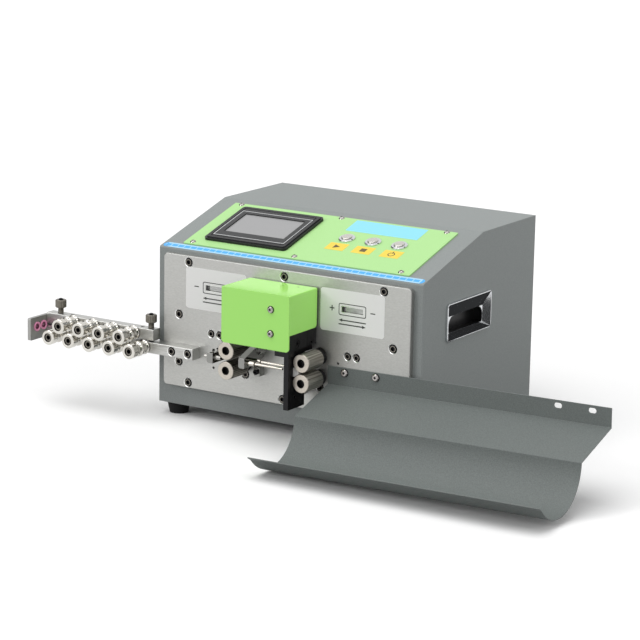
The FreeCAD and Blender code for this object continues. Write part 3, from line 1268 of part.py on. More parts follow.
def tray_slots():
    """Places of the four oblong slots in the flange, as (x, z) before the tray is tilted."""
    z = TRAY_FOLD_Z + TRAY_FLANGE_H - TRAY_SLOT_DROP
    left = [TRAY_X0 + TRAY_SLOT_END, TRAY_X0 + TRAY_SLOT_END + TRAY_SLOT_PITCH]
    right = [TRAY_X0 + TRAY_L - TRAY_SLOT_END - TRAY_SLOT_PITCH, TRAY_X0 + TRAY_L - TRAY_SLOT_END]
    return [(x, z) for x in left + right]


def tilt_tray(shape):
    """The tray hangs one degree up to the right."""
    turned = shape.copy()
    turned.rotate(V(TRAY_X0, 0, TRAY_FOLD_Z), Y_AXIS, -TRAY_TILT)
    return turned


def tray():
    """Bent output tray."""
    face = tray_path().makeOffset2D(TRAY_T, 0, True, True)
    sheet = face.extrude(V(TRAY_L, 0, 0))
    sheet.translate(V(TRAY_X0, 0, 0))
    box_ = sheet.BoundBox
    shift = -PLATE_T - box_.YMax
    sheet.translate(V(0, shift, 0))
    for x, z in tray_slots():
        slot = rounded(box(x - TRAY_SLOT_L / 2.0, x + TRAY_SLOT_L / 2.0, -PLATE_T - 8, -PLATE_T + 2,
                           z - TRAY_SLOT_W / 2.0, z + TRAY_SLOT_W / 2.0), TRAY_SLOT_W / 2.05, Y_AXIS)
        sheet = sheet.cut(slot)
    return tilt_tray(sheet)


def tray_screws():
    """Chrome button-head screws in the tray's left slots."""
    screws = []
    for x, z in tray_slots()[:2]:
        screws.append(tilt_tray(button_screw((x, -PLATE_T - TRAY_T, z), V(0, -1, 0), M5_D, M5_HEAD_D, M5_HEAD_H,
                                             TRAY_T + PLATE_T - 1, 3.0)))
    return screws


# Motors and electrical pieces

def stepper_motor(x, y, z, width, length, shaft_d, shaft_l):
    """Square stepper motor: body with cut corners, pilot boss and shaft towards the front."""
    half = width / 2.0
    body = box(x - half, x + half, y, y + length, z - half, z + half)
    body = body.makeChamfer(width * 0.08, edges_along(body, Y_AXIS, lambda p: True))
    band = box(x - half + 1.5, x + half - 1.5, y + length * 0.2, y + length * 0.8, z - half - 1, z + half + 1)
    shaft = rod(shaft_d, shaft_l, (x, y - shaft_l, z), Y_AXIS)
    plug = box(x - 8, x + 8, y + length - 10, y + length - 3, z - half - 5, z - half + 2)
    return fuse(body, shaft, plug, band.common(body))


def stepper_motors():
    """Two feed motors behind their blocks and the blade motor on standoffs behind the plate."""
    motors = []
    for x in FEED_XS:
        motors.append(stepper_motor(x, BLOCK_REAR_Y, LOWER_FEED_Z, FEED_MOTOR_W, FEED_MOTOR_L, MOTOR_SHAFT_D,
                                    MOTOR_SHAFT_L))
    blade_motor = stepper_motor(PINION_X, STANDOFF_L, PINION_Z, BLADE_MOTOR_W, BLADE_MOTOR_L, 5.0, 12.0)
    reach = BLADE_MOTOR_W * 0.37
    for dx in (-reach, reach):
        for dz in (-reach, reach):
            post = rod(STANDOFF_D, STANDOFF_L, (PINION_X + dx, 0, PINION_Z + dz), Y_AXIS)
            blade_motor = fuse(blade_motor, post)
    motors.append(blade_motor)
    return group(motors)


def power_supply():
    """Boxed power supply on the base pan, with a terminal strip."""
    w, d, h = SUPPLY_SIZE
    x, y = SUPPLY_AT
    case = box(x, x + w, y, y + d, SHEET, SHEET + h)
    ledge = box(x - 1, x + 14, y + 4, y + d - 4, SHEET + 14, SHEET + h + 1)
    strips = [box(x + 2, x + 12, y + 8 + i * 9, y + 14 + i * 9, SHEET + 12, SHEET + 22) for i in range(9)]
    return fuse(case.cut(ledge), *strips)


def control_board():
    """Driver board on standoffs with its heat sink, connectors and capacitors."""
    w, d, t = BOARD_SIZE
    x, y = BOARD_AT
    z = SHEET + BOARD_STANDOFF
    parts = [box(x, x + w, y, y + d, z, z + t)]
    for px in (x + 5, x + w - 5):
        for py in (y + 5, y + d - 5):
            parts.append(rod(5.0, BOARD_STANDOFF, (px, py, SHEET), Z_AXIS))
    parts.append(box(x + 20, x + 70, y + 20, y + 60, z + t, z + t + 5))
    parts += [box(x + 20, x + 70, y + 22 + 6 * i, y + 24 + 6 * i, z + t + 5, z + t + 20) for i in range(6)]
    parts += [box(x + 12 + 18 * i, x + 26 + 18 * i, y + d - 14, y + d - 4, z + t, z + t + 9) for i in range(6)]
    parts += [rod(12.0, 22.0, (x + 90 + 16 * i, y + 30, z + t), Z_AXIS) for i in range(2)]
    return fuse(*parts)


def inlet_box():
    """Front and back faces of the mains inlet's flange."""
    return HOUSING_D, HOUSING_D + 2.5


def mains_inlet():
    """Mains inlet module: flange, shrouded socket with three pins, and the well of the rocker switch."""
    y0, y1 = inlet_box()
    half_w = INLET_W / 2.0
    half_h = INLET_H / 2.0
    flange = rounded(box(INLET_X - half_w - 3, INLET_X + half_w + 3, y0, y1, INLET_Z - half_h - 4,
                         INLET_Z + half_h + 4), 3.0, Y_AXIS)
    body = box(INLET_X - half_w + 0.2, INLET_X + half_w - 0.2, y0 - INLET_DEPTH, y0 + 0.5,
               INLET_Z - half_h + 0.2, INLET_Z + half_h - 0.2)
    module = fuse(flange, body)
    socket_z = INLET_Z - half_h * 0.42
    socket = box(INLET_X - 11, INLET_X + 11, y1 - 17, y1 + 1, socket_z - 8, socket_z + 8)
    socket = socket.makeChamfer(3.5, edges_along(socket, Y_AXIS, lambda p: p.z > socket_z))
    rocker_z = rocker_place()[2]
    well = box(INLET_X - ROCKER_W / 2.0 - 0.4, INLET_X + ROCKER_W / 2.0 + 0.4, y1 - 11, y1 + 1,
               rocker_z - ROCKER_H / 2.0 - 0.5, rocker_z + ROCKER_H / 2.0 + 0.5)
    pin_l = ROCKER_W + 2.0 * ROCKER_PIN_L + 0.2
    pin_y = rocker_place()[1]
    pin_hole = rod(ROCKER_PIN_D + SHAFT_PLAY * 2, pin_l, (INLET_X - pin_l / 2.0, pin_y, rocker_z), X_AXIS)
    module = module.cut(socket).cut(well).cut(pin_hole)
    pins = [box(INLET_X + dx - 1, INLET_X + dx + 1, y1 - 17.5, y1 - 3, socket_z + dz - 2, socket_z + dz + 2)
            for dx, dz in ((-6.5, -1.5), (0, 2.0), (6.5, -1.5))]
    return fuse(module, *pins)


def rocker_place():
    """The rocker's pivot."""
    return (INLET_X, HOUSING_D - 2.0, INLET_Z + INLET_H * 0.27)


def power_rocker():
    """Rocker of the power switch, tipped to its off side."""
    x, y, z = rocker_place()
    half = ROCKER_H / 2.0 - 0.8
    front = y + 7.0
    side = [(y - 3, z - half + 1.2), (front - 1.6, z - half), (front, z - half + 0.6), (front - 1.5, z),
            (front, z + half - 0.6), (front - 1.6, z + half), (y - 3, z + half - 1.2)]
    rocker = prism_yz(side, x - ROCKER_W / 2.0, x + ROCKER_W / 2.0)
    rocker.rotate(V(x, y, z), X_AXIS, -ROCKER_DEG)
    pin_l = ROCKER_W + 2.0 * ROCKER_PIN_L
    return fuse(rocker, rod(ROCKER_PIN_D, pin_l, (x - pin_l / 2.0, y, z), X_AXIS))


def build():
    """All nodes by name, in the machine frame."""
    nodes = {
        "housing_shell": housing_shell(),
        "base_pan": base_pan(),
        "rear_panel": rear_panel(),
        "rubber_feet": rubber_feet(),
        "side_handles": side_handles(),
        "front_plate": front_plate(),
        "socket_screws": group(plate_socket_screws() + straightener_mount_screws() + [stop_screw()]),
        "pan_screws": group(panel_screws() + rear_screws()),
        "button_head_screws": group(cover_screws() + tray_screws()),
        "control_panel": control_panel(),
        "screen_bezel": screen_bezel(),
        "screen_display": screen_display(),
        "button_housings": button_housings(),
        "tray": tray(),
        "straightener_lower_bar": straightener_lower_bar(),
        "straightener_upper_bar": straightener_upper_bar(),
        "entry_plate": entry_plate(),
        "entry_eyelets": entry_eyelets(),
        "guide_blocks": guide_blocks(),
        "input_nozzles": input_nozzles(),
        "swing_arm": swing_arm(),
        "swing_tubes": swing_tubes(),
        "blade_head_frame": blade_head_frame(),
        "head_cover": head_cover(),
        "output_nozzle": output_nozzle(),
        "upper_carriage": upper_carriage(),
        "lower_carriage": lower_carriage(),
        "upper_blade": blade(True),
        "lower_blade": blade(False),
        "blade_pinion": blade_pinion(),
        "feed_blocks": feed_blocks(),
        "stepper_motors": stepper_motors(),
        "power_supply": power_supply(),
        "control_board": control_board(),
        "mains_inlet": mains_inlet(),
        "power_rocker": power_rocker(),
        "pressure_slider_left": pressure_slider(WINDOW_LEFT_X, 1),
        "pressure_slider_right": pressure_slider(WINDOW_RIGHT_X, -1),
    }
    for name, x in zip(("left", "middle", "right"), BUTTON_XS):
        nodes["push_button_" + name] = button_cap(x)
    for name, x in zip(("input", "output"), FEED_XS):
        nodes[name + "_bearing_block"] = upper_bearing_block(x)
        nodes[name + "_lower_roller"] = group([feed_roller(x, LOWER_FEED_Z), feed_shaft(x, LOWER_FEED_Z, True)])
        nodes[name + "_upper_roller"] = group([feed_roller(x, UPPER_FEED_Z), feed_shaft(x, UPPER_FEED_Z, False)])
    lower_z = LOWER_BAR_Z0 + BAR_H / 2.0
    upper_z = UPPER_BAR_Z0 + BAR_H / 2.0
    nodes["lower_roller_axles"] = group([axle_screw(x, lower_z) for x in LOWER_ROLLER_XS])
    nodes["upper_roller_axles"] = group([axle_screw(x, upper_z) for x in UPPER_ROLLER_XS])
    for number, x in enumerate(LOWER_ROLLER_XS, 1):
        nodes["lower_roller_%d" % number] = straightener_roller(x, lower_z)
    for number, x in enumerate(UPPER_ROLLER_XS, 1):
        nodes["upper_roller_%d" % number] = straightener_roller(x, upper_z)
    for name, x in zip(("left", "right"), ADJUST_X):
        nodes["adjusting_screw_" + name] = adjusting_screw(x)
    return nodes


def main():
    """Move the machine to its own origin and write one file for each node."""
    os.makedirs("parts", exist_ok=True)
    nodes = build()
    whole = Part.makeCompound(list(nodes.values())).BoundBox
    shift = V(-(whole.XMin + whole.XMax) / 2.0, -(whole.YMin + whole.YMax) / 2.0, -whole.ZMin)
    print("whole machine", [round(v, 2) for v in (whole.XLength, whole.YLength, whole.ZLength)])
    print("shift", [round(v, 3) for v in (shift.x, shift.y, shift.z)])
    for name, shape in nodes.items():
        moved = shape.copy()
        moved.translate(shift)
        if not moved.isValid():
            print("not valid:", name)
        moved.exportStep("parts/" + name + ".step")
    print(len(nodes), "nodes")


main()
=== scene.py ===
# %% [markdown]
# # Dressing a benchtop wire cutting and stripping machine
# The machine was built as exact solids. They arrive here as a fixed frame, and this lesson gives them the
# finishes and the thin printed and knurled pieces that the solids leave out. Every step says what the real
# thing is, how it could be made, and why it is made this way.

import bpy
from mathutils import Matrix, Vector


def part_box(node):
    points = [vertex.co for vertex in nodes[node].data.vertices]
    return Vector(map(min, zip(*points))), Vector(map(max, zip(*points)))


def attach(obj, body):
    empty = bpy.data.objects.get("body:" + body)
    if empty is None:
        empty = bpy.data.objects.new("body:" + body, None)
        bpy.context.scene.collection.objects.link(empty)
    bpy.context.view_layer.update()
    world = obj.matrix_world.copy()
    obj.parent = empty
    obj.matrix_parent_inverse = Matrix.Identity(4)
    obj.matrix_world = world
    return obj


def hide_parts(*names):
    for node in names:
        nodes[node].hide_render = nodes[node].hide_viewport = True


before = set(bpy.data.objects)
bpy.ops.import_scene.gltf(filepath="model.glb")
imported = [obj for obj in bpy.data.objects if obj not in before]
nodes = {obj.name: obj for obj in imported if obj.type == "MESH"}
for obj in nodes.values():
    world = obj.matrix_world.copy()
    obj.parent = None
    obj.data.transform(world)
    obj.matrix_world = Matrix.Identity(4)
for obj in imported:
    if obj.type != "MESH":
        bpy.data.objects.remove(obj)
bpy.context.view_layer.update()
print("solids loaded:", len(nodes))

# %% [markdown]
# ## A frame of reference
# A maker measures the front of this machine from the lower left corner of its housing, in millimetres. The
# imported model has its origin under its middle, so one helper turns shop measurements into Blender's metres.
# The corner is read from the housing itself, which keeps every later piece on the solids if they move.

# %% Measure from the housing's corner
import math

import bpy
from mathutils import Matrix, Vector

MM = 0.001
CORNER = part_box("housing_shell")[0]


def spot(x, y, z):
    """The place x to the right, y back and z up from the housing's lower left front corner, in millimetres."""
    return CORNER + Vector((x, y, z)) * MM


housing_size = (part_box("housing_shell")[1] - CORNER) / MM
print("housing in mm:", [round(v, 1) for v in housing_size])

# %% [markdown]
# ## The sloping console
# The controls sit on a slope that rises from the front edge to the top. Pieces on it are easiest to lay out
# flat and then tip up, so the slope becomes a matrix: its columns are the way right, the way up the slope
# and the way out of it.

# %% Tip a drawing onto the console
FRONT_HEIGHT = 210.0
SLOPE_RUN = 150.5
slope_angle = math.atan2(housing_size.z - FRONT_HEIGHT, SLOPE_RUN)
CONSOLE = Matrix.Translation(spot(0, 0, FRONT_HEIGHT)) @ Matrix.Rotation(slope_angle, 4, "X")
FRONT_FACE_Y = -8.0
PLATE_FACE = Matrix.Translation(spot(0, FRONT_FACE_Y, 0)) @ Matrix.Rotation(math.radians(90), 4, "X")
print("console slope in degrees:", round(math.degrees(slope_angle), 2))

# %% [markdown]
# ## Colour
# Paint charts and screens give colours in sRGB, while the renderer adds light up in linear numbers. One
# function turns a hex value into the renderer's numbers, so each material can be written as on a chart.

# %% Turn a hex colour into linear light


def colour(hex_code):
    """Linear RGBA of an sRGB hex colour such as #BDBDB9."""
    parts = [int(hex_code[i:i + 2], 16) / 255 for i in (1, 3, 5)]
    linear = [p / 12.92 if p <= 0.04045 else ((p + 0.055) / 1.055) ** 2.4 for p in parts]
    return (*linear, 1.0)


print("mid grey:", [round(v, 3) for v in colour("#808080")])

# %% [markdown]
# ## Materials from nodes
# Each finish is a small tree of nodes round one Principled shader. A single helper adds a node, sets its
# properties and fills or links its inputs, so that a material below reads like a recipe.

# %% Add a node


def add_node(owner, kind, inputs=None, **settings):
    """A node in a material or world; an input given as a socket is linked, and any other value is set."""
    node = owner.node_tree.nodes.new(kind)
    for name, value in settings.items():
        setattr(node, name, value)
    for name, value in (inputs or {}).items():
        if isinstance(value, bpy.types.NodeSocket):
            owner.node_tree.links.new(value, node.inputs[name])
        else:
            node.inputs[name].default_value = value
    return node


def shader_input(material, name):
    """The named socket of the material's Principled shader."""
    return material.node_tree.nodes["Principled BSDF"].inputs[name]


def new_material(name, hex_code, metallic, roughness, **more):
    """A material with one Principled shader; more holds its other sockets, by name."""
    material = bpy.data.materials.new(name)
    material.use_nodes = True
    shader_input(material, "Base Color").default_value = colour(hex_code)
    shader_input(material, "Metallic").default_value = metallic
    shader_input(material, "Roughness").default_value = roughness
    for socket, value in more.items():
        shader_input(material, socket.replace("_", " ")).default_value = value
    return material


print("plain materials are ready")

# %% [markdown]
# ## Grain of a real size
# Every real surface has a grain: the peel of a coat, the lines of a cutter, the blur of blasting. Noise in
# the piece's own space stands for it, with a scale worked out from the grain's size in millimetres. It
# raises the surface through a bump node, which costs no geometry. A bevel node in front of it rounds the
# shading of sharp edges, because no real edge is perfectly sharp.

# %% Grow a grain and raise it


def grain_map(material, grain_mm, stretch):
    """Noise in the object's own space, with grains of a real size that can be drawn out along an axis."""
    place = add_node(material, "ShaderNodeTexCoord").outputs["Object"]
    scale = [1 / (grain_mm * MM * s) for s in stretch]
    stretched = add_node(material, "ShaderNodeMapping", {"Vector": place, "Scale": scale}).outputs["Vector"]
    noise = add_node(material, "ShaderNodeTexNoise", {"Vector": stretched, "Scale": 1.0, "Detail": 2.0})
    return noise.outputs["Fac"]


def raise_by(material, height, depth_mm, edge_mm):
    """Let a texture raise the surface, and round off the shading of sharp edges."""
    soft_edge = add_node(material, "ShaderNodeBevel", {"Radius": edge_mm * MM}, samples=4)
    bump = add_node(material, "ShaderNodeBump", {"Height": height, "Distance": depth_mm * MM, "Strength": 1.0,
                                                 "Normal": soft_edge.outputs["Normal"]})
    material.node_tree.links.new(bump.outputs["Normal"], shader_input(material, "Normal"))


print("grain is ready")

# %% [markdown]
# ## Uneven colour and shine
# One flat colour looks like plastic. The same grain that raises a surface also shifts its colour and its
# shine a little, which the eye reads as material. Noise seldom reaches 0 or 1, so the middle of its range is
# stretched first. The mix node's colour sockets share their names with others, so they go by number. In the
# end one call gives a material its grain, with a tint or a gloss where it has them.

# %% Tint and polish by the grain
MIX_A, MIX_B, MIX_RESULT = 6, 7, 2
NOISE_LOW, NOISE_HIGH = 0.35, 0.65


def spread_over(material, height, low, high, to_low, to_high):
    """Turn the middle of a texture's range into a range of another value."""
    spread = add_node(material, "ShaderNodeMapRange", {"Value": height, "From Min": low, "From Max": high,
                                                       "To Min": to_low, "To Max": to_high})
    return spread.outputs["Result"]


def tint_by(material, height, dark_hex, light_hex, low=NOISE_LOW, high=NOISE_HIGH):
    """Let a texture run the colour between two hex values."""
    factor = spread_over(material, height, low, high, 0.0, 1.0)
    mix = add_node(material, "ShaderNodeMix", {"Factor": factor, MIX_A: colour(dark_hex),
                                               MIX_B: colour(light_hex)}, data_type="RGBA")
    material.node_tree.links.new(mix.outputs[MIX_RESULT], shader_input(material, "Base Color"))


def gloss_by(material, height, smooth, rough):
    """Let a texture run the roughness between two values."""
    roughness = spread_over(material, height, NOISE_LOW, NOISE_HIGH, smooth, rough)
    material.node_tree.links.new(roughness, shader_input(material, "Roughness"))


def give_grain(material, grain_mm, depth_mm, edge_mm, stretch=(1.0, 1.0, 1.0), tint=None, gloss=None):
    """A grain that raises the surface, and may tint it between two colours or polish it unevenly."""
    grain = grain_map(material, grain_mm, stretch)
    raise_by(material, grain, depth_mm, edge_mm)
    if tint:
        tint_by(material, grain, *tint)
    if gloss:
        gloss_by(material, grain, *gloss)


print("tints are ready")

# %% [markdown]
# ## Rubbed and lit edges
# Hands and tools rub a coat thin along sharp outer edges, and sharp edges also catch the light, so the paler
# colour there is partly wear and partly a painted highlight. A bevel node gives a softened direction of the
# surface, and where that leaves the true one an edge is near, so the paler colour goes there.

# %% Pale the worn and lit edges and give a finish to solids
COAT_WHOLE, COAT_AT_EDGE = 0.99, 0.80


def pale_edges_worn_and_lit(material, width_mm, edge_hex):
    """Lighten a tinted coat at its sharp edges."""
    soft = add_node(material, "ShaderNodeBevel", {"Radius": width_mm * MM}, samples=6)
    true = add_node(material, "ShaderNodeNewGeometry")
    alike = add_node(material, "ShaderNodeVectorMath", {0: soft.outputs["Normal"], 1: true.outputs["Normal"]},
                     operation="DOT_PRODUCT")
    edge_pale = spread_over(material, alike.outputs["Value"], COAT_WHOLE, COAT_AT_EDGE, 0.0, 1.0)
    coat = shader_input(material, "Base Color").links[0].from_socket
    mix = add_node(material, "ShaderNodeMix", {"Factor": edge_pale, MIX_A: coat, MIX_B: colour(edge_hex)},
                   data_type="RGBA")
    material.node_tree.links.new(mix.outputs[MIX_RESULT], shader_input(material, "Base Color"))


def wear(material, *names):
    """Give the named solids a material."""
    for name in names:
        for slot in nodes[name].material_slots:
            slot.material = material


print("finish helpers are ready")

# %% [markdown]
# ## Powder coat
# The housing and the tray are folded steel sheet with a baked polyester powder coat. Powder melts into a
# skin with a fine orange-peel texture and a dull, even shine. The real grain is about 0.3 mm, too fine for
# a picture of the whole machine, so it is drawn at a millimetre. Edges are a little paler, partly where hands
# rub them and partly as a painted highlight.

# %% Coat the housing and the tray
powder_coat = new_material("grey powder coat", "#8C9190", 0.0, 0.6, IOR=1.5)
give_grain(powder_coat, 1.0, 0.10, 0.6, tint=("#858A89", "#8F9493"))
# Paler edges: partly wear, partly painted highlight.
pale_edges_worn_and_lit(powder_coat, 0.5, "#9DA2A1")
wear(powder_coat, "housing_shell", "base_pan", "rear_panel")

tray_coat = new_material("grey powder coat on the tray", "#656A68", 0.0, 0.6, IOR=1.5)
give_grain(tray_coat, 1.2, 0.2, 0.6, tint=("#5E6462", "#6D7371"))
pale_edges_worn_and_lit(tray_coat, 0.6, "#959A98")
wear(tray_coat, "tray")
print("coated:", powder_coat.name, "and", tray_coat.name)

# %% [markdown]
# ## Machined and blasted aluminium
# The front plate is milled aluminium, bead blasted to an even satin with only a trace of the milling left.
# The straightener's bars and the feed blocks are milled with fine lines along their length, and the entry
# plate is duller. All are metals, so their colour lives in the reflection, and the roughness says how fine
# the surface is.

# %% Finish the aluminium
blasted_aluminium = new_material("bead-blasted aluminium", "#AEAEAB", 1.0, 0.46)
give_grain(blasted_aluminium, 0.5, 0.008, 0.5, (6.0, 6.0, 1.0), tint=("#A9A9A6", "#B4B4B1"))
wear(blasted_aluminium, "front_plate")

milled_aluminium = new_material("milled aluminium", "#B6B6B3", 1.0, 0.34)
give_grain(milled_aluminium, 0.4, 0.012, 0.5, (40.0, 1.0, 1.0), tint=("#A9A9A6", "#C3C3C0"),
           gloss=(0.28, 0.42))
wear(milled_aluminium, "straightener_lower_bar", "straightener_upper_bar", "feed_blocks")
dull_aluminium = new_material("dull milled aluminium", "#9C9C99", 1.0, 0.42)
give_grain(dull_aluminium, 0.5, 0.008, 0.5, (1.0, 6.0, 1.0), gloss=(0.34, 0.48))
wear(dull_aluminium, "entry_plate")
print("aluminium:", blasted_aluminium.name, "and", milled_aluminium.name)

# %% [markdown]
# ## Blackened steel
# Socket-head screws are steel with a black oxide skin, almost black, with a slightly oily shine. The blade
# head's side plate has the same colour but was milled before blackening, so fine lines show in its shine.

# %% Blacken the screws and the side plate
black_oxide = new_material("black oxide steel", "#202022", 1.0, 0.3)
give_grain(black_oxide, 0.8, 0.004, 0.2)
wear(black_oxide, "socket_screws", "lower_roller_axles", "upper_roller_axles")

black_plate = new_material("blackened milled steel", "#232324", 0.8, 0.4)
give_grain(black_plate, 0.5, 0.01, 0.4, (1.0, 1.0, 30.0), gloss=(0.32, 0.5))
wear(black_plate, "blade_head_frame")
print("blackened:", black_oxide.name, "and", black_plate.name)

# %% [markdown]
# ## Plated and polished metal
# Chrome and nickel plate reflect nearly everything, and what the eye sees is mostly the room. The handles
# are polished chrome, the straightening rollers nickel with faint turning rings, and the buttons brushed
# steel.

# %% Plate the rollers, handles and buttons
chrome = new_material("polished chrome plate", "#D4D6D8", 1.0, 0.06)
give_grain(chrome, 6.0, 0.01, 0.5)
nickel = new_material("turned nickel plate", "#D3D0C9", 1.0, 0.14)
give_grain(nickel, 0.4, 0.004, 0.3, (60.0, 1.0, 60.0), gloss=(0.1, 0.2))
button_steel = new_material("brushed button steel", "#CDCAC4", 1.0, 0.26)
give_grain(button_steel, 0.3, 0.006, 0.4, (30.0, 1.0, 1.0), gloss=(0.2, 0.34))
wear(chrome, "side_handles", "button_housings")
wear(button_steel, "push_button_left", "push_button_middle", "push_button_right")
wear(nickel, *["lower_roller_%d" % i for i in range(1, 6)], *["upper_roller_%d" % i for i in range(1, 5)])
print("plated:", chrome.name, "and", nickel.name)

# %% [markdown]
# ## Small bright steel
# Screws are plated too, and their metal is made darker, which paints the dark reflections on their heads. The
# tubes of the swing guide are drawn stainless steel with a mirror shine, and its arm and the guide blocks are
# polished along their length.

# %% Finish the bright screws and the swing guide
# The darker screw metal paints the dark reflections on the heads.
screw_nickel = new_material("nickel-plated screw", "#A19E9A", 1.0, 0.12)
give_grain(screw_nickel, 0.8, 0.004, 0.2)
screw_chrome = new_material("chrome screw darkened as painted reflection", "#A39E9C", 1.0, 0.1)
give_grain(screw_chrome, 0.8, 0.004, 0.2)
tube_steel = new_material("drawn stainless tube", "#B3AEA6", 1.0, 0.08)
give_grain(tube_steel, 0.3, 0.003, 0.2, (60.0, 1.0, 1.0))
arm_steel = new_material("polished steel arm", "#8C8C89", 1.0, 0.12)
give_grain(arm_steel, 0.5, 0.004, 0.4, (1.0, 20.0, 1.0))
wear(screw_nickel, "pan_screws")
wear(screw_chrome, "button_head_screws")
wear(tube_steel, "swing_tubes")
wear(arm_steel, "swing_arm", "guide_blocks")
print("bright:", screw_nickel.name, "and", tube_steel.name)

# %% [markdown]
# ## Tool steel
# Feed rollers, racks, blades and sliding blocks are hardened tool steel, ground on their working faces.
# Hardened rollers keep a warm, sandy tint from the oil and heat. The bars behind the scale windows are
# ground along their length, which shows as fine streaks.

# %% Finish the hardened steel
roller_steel = new_material("hardened roller steel", "#BBB4AA", 1.0, 0.42)
give_grain(roller_steel, 0.5, 0.006, 0.3, (1.0, 40.0, 1.0), tint=("#AFA89E", "#C6C0B6"))
ground_steel = new_material("ground tool steel", "#A4A5A3", 1.0, 0.3)
give_grain(ground_steel, 0.35, 0.008, 0.3, (30.0, 1.0, 1.0), tint=("#8C8D8B", "#B9BAB8"))
wear(roller_steel, "input_lower_roller", "input_upper_roller", "output_lower_roller", "output_upper_roller")
wear(ground_steel, "upper_carriage", "lower_carriage", "blade_pinion", "upper_blade", "lower_blade",
     "input_bearing_block", "output_bearing_block", "pressure_slider_left", "pressure_slider_right")
print("hardened:", roller_steel.name)

# %% [markdown]
# ## Green enamel and film
# The blade cover is enamelled in a fresh light green, with the faint waves that spray leaves. The control
# panel wears the same green as a printed film, a little paler and duller.

# %% Paint the green pieces
green_enamel = new_material("light green enamel", "#B0F676", 0.0, 0.16, IOR=1.5)
give_grain(green_enamel, 3.0, 0.03, 1.0)
green_film = new_material("pale green film", "#ACDD90", 0.0, 0.45, IOR=1.5)
give_grain(green_film, 0.8, 0.01, 0.3, tint=("#A9DA8D", "#AFE093"))
wear(green_enamel, "head_cover")
wear(green_film, "control_panel")
print("green:", green_enamel.name, "and", green_film.name)

# %% [markdown]
# ## Mouldings
# The screen's frame, the mains inlet and its rocker are black ABS, moulded with a fine spark-eroded grain.
# The feet are rubber, the wire guide at the output is white acetal, and the inlet eyelets are polished
# pink alumina, which wire can't cut. The input nozzles are turned from steel, with fine rings.

# %% Finish plastics, rubber and ceramic
black_abs = new_material("black ABS", "#161718", 0.0, 0.36, IOR=1.4)
give_grain(black_abs, 0.8, 0.03, 0.6, gloss=(0.3, 0.42))
rubber = new_material("black rubber", "#0F0F10", 0.0, 0.85, IOR=1.4)
give_grain(rubber, 1.0, 0.03, 0.8)
acetal = new_material("white acetal", "#EDEDEA", 0.0, 0.4, IOR=1.48)
give_grain(acetal, 1.0, 0.01, 0.4)
pink_alumina = new_material("pink alumina", "#F59CC5", 0.0, 0.18, IOR=1.7)
give_grain(pink_alumina, 1.0, 0.004, 0.5)
nozzle_steel = new_material("turned nozzle steel", "#A09E9A", 1.0, 0.26)
give_grain(nozzle_steel, 0.4, 0.006, 0.3, (1.0, 30.0, 30.0))
display_sheet = new_material("unlit display sheet", "#99999A", 0.0, 0.26, IOR=1.5)
give_grain(display_sheet, 0.5, 0.003, 0.1)
wear(black_abs, "screen_bezel", "mains_inlet", "power_rocker")
wear(rubber, "rubber_feet")
wear(acetal, "output_nozzle")
wear(pink_alumina, "entry_eyelets")
wear(nozzle_steel, "input_nozzles")
wear(display_sheet, "screen_display")
print("moulded:", black_abs.name)

# %% [markdown]
# ## What the housing hides
# Motors, power supply and control board never show while the housing is closed, but they are there in
# every other view of the parts, so they get plain true finishes.

# %% Finish the inner pieces
motor_black = new_material("black motor enamel", "#1E1E20", 0.2, 0.45)
supply_case = new_material("zinc-plated supply case", "#AEB0B0", 1.0, 0.4)
board_green = new_material("green circuit board", "#1F5E3A", 0.0, 0.4)
wear(motor_black, "stepper_motors")
wear(supply_case, "power_supply")
wear(board_green, "control_board")
print("inner finishes:", motor_black.name, supply_case.name, board_green.name)

# %% [markdown]
# ## Cutting thin sheets
# Labels, printed lines and films are flat outlines with almost no thickness. Blender fills closed 2D curves
# and cuts the inner outlines out as holes, so each one is drawn as an outline, given its thickness, and
# turned into a mesh. Every mesh then enters the scene through one small function.

# %% Draw outlines and cut sheets


def rounded_box(x0, x1, y0, y1, radius, steps=5):
    """Corner points of a rectangle with round corners."""
    points = []
    for cx, cy, start in ((x1 - radius, y1 - radius, 0), (x0 + radius, y1 - radius, 90),
                          (x0 + radius, y0 + radius, 180), (x1 - radius, y0 + radius, 270)):
        for step in range(steps + 1):
            angle = math.radians(start + 90 * step / steps)
            points.append((cx + radius * math.cos(angle), cy + radius * math.sin(angle)))
    return points


def new_piece(name, mesh, material):
    """An object in the scene for a mesh, all in one material."""
    mesh.materials.clear()
    mesh.materials.append(material)
    piece = bpy.data.objects.new(name, mesh)
    bpy.context.scene.collection.objects.link(piece)
    return piece


def cut_sheet(name, outlines, thickness, face, height, material, body="machine"):
    """A sheet from closed outlines in millimetres, laid on a face at a height above it."""
    curve = bpy.data.curves.new(name, "CURVE")
    curve.dimensions = "2D"
    curve.fill_mode = "BOTH"
    curve.extrude = thickness * MM / 2
    for outline in outlines:
        spline = curve.splines.new("POLY")
        spline.points.add(len(outline) - 1)
        for point, (x, y) in zip(spline.points, outline):
            point.co = (x * MM, y * MM, 0, 1)
        spline.use_cyclic_u = True
    drawn = bpy.data.objects.new(name + "_outline", curve)
    mesh = bpy.data.meshes.new_from_object(drawn)
    bpy.data.objects.remove(drawn)
    mesh.transform(face @ Matrix.Translation((0, 0, (height + thickness / 2) * MM)))
    sheet = new_piece(name, mesh, material)
    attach(sheet, body)


print("sheet cutter is ready")

# %% [markdown]
# ## Signs on the scales
# Printed signs are simple outlines. An arrow and a plus are drawn point by point, anticlockwise, and a minus
# is a rounded box.

# %% Draw an arrow and a plus
ARROW_L = 40.0
ARROW_LINE = 1.5
ARROW_HEAD_W = 4.2
ARROW_HEAD_L = ARROW_HEAD_W * 1.3
SIGN_SIZE = 7.0
SIGN_LINE = 1.4


def around(centre_x, centre_y, size, radius, more=0.0):
    """A rounded box of a size round a centre; more makes it wider and higher."""
    w, h = size[0] + more, size[1] + more
    return rounded_box(centre_x - w / 2, centre_x + w / 2, centre_y - h / 2, centre_y + h / 2, radius)


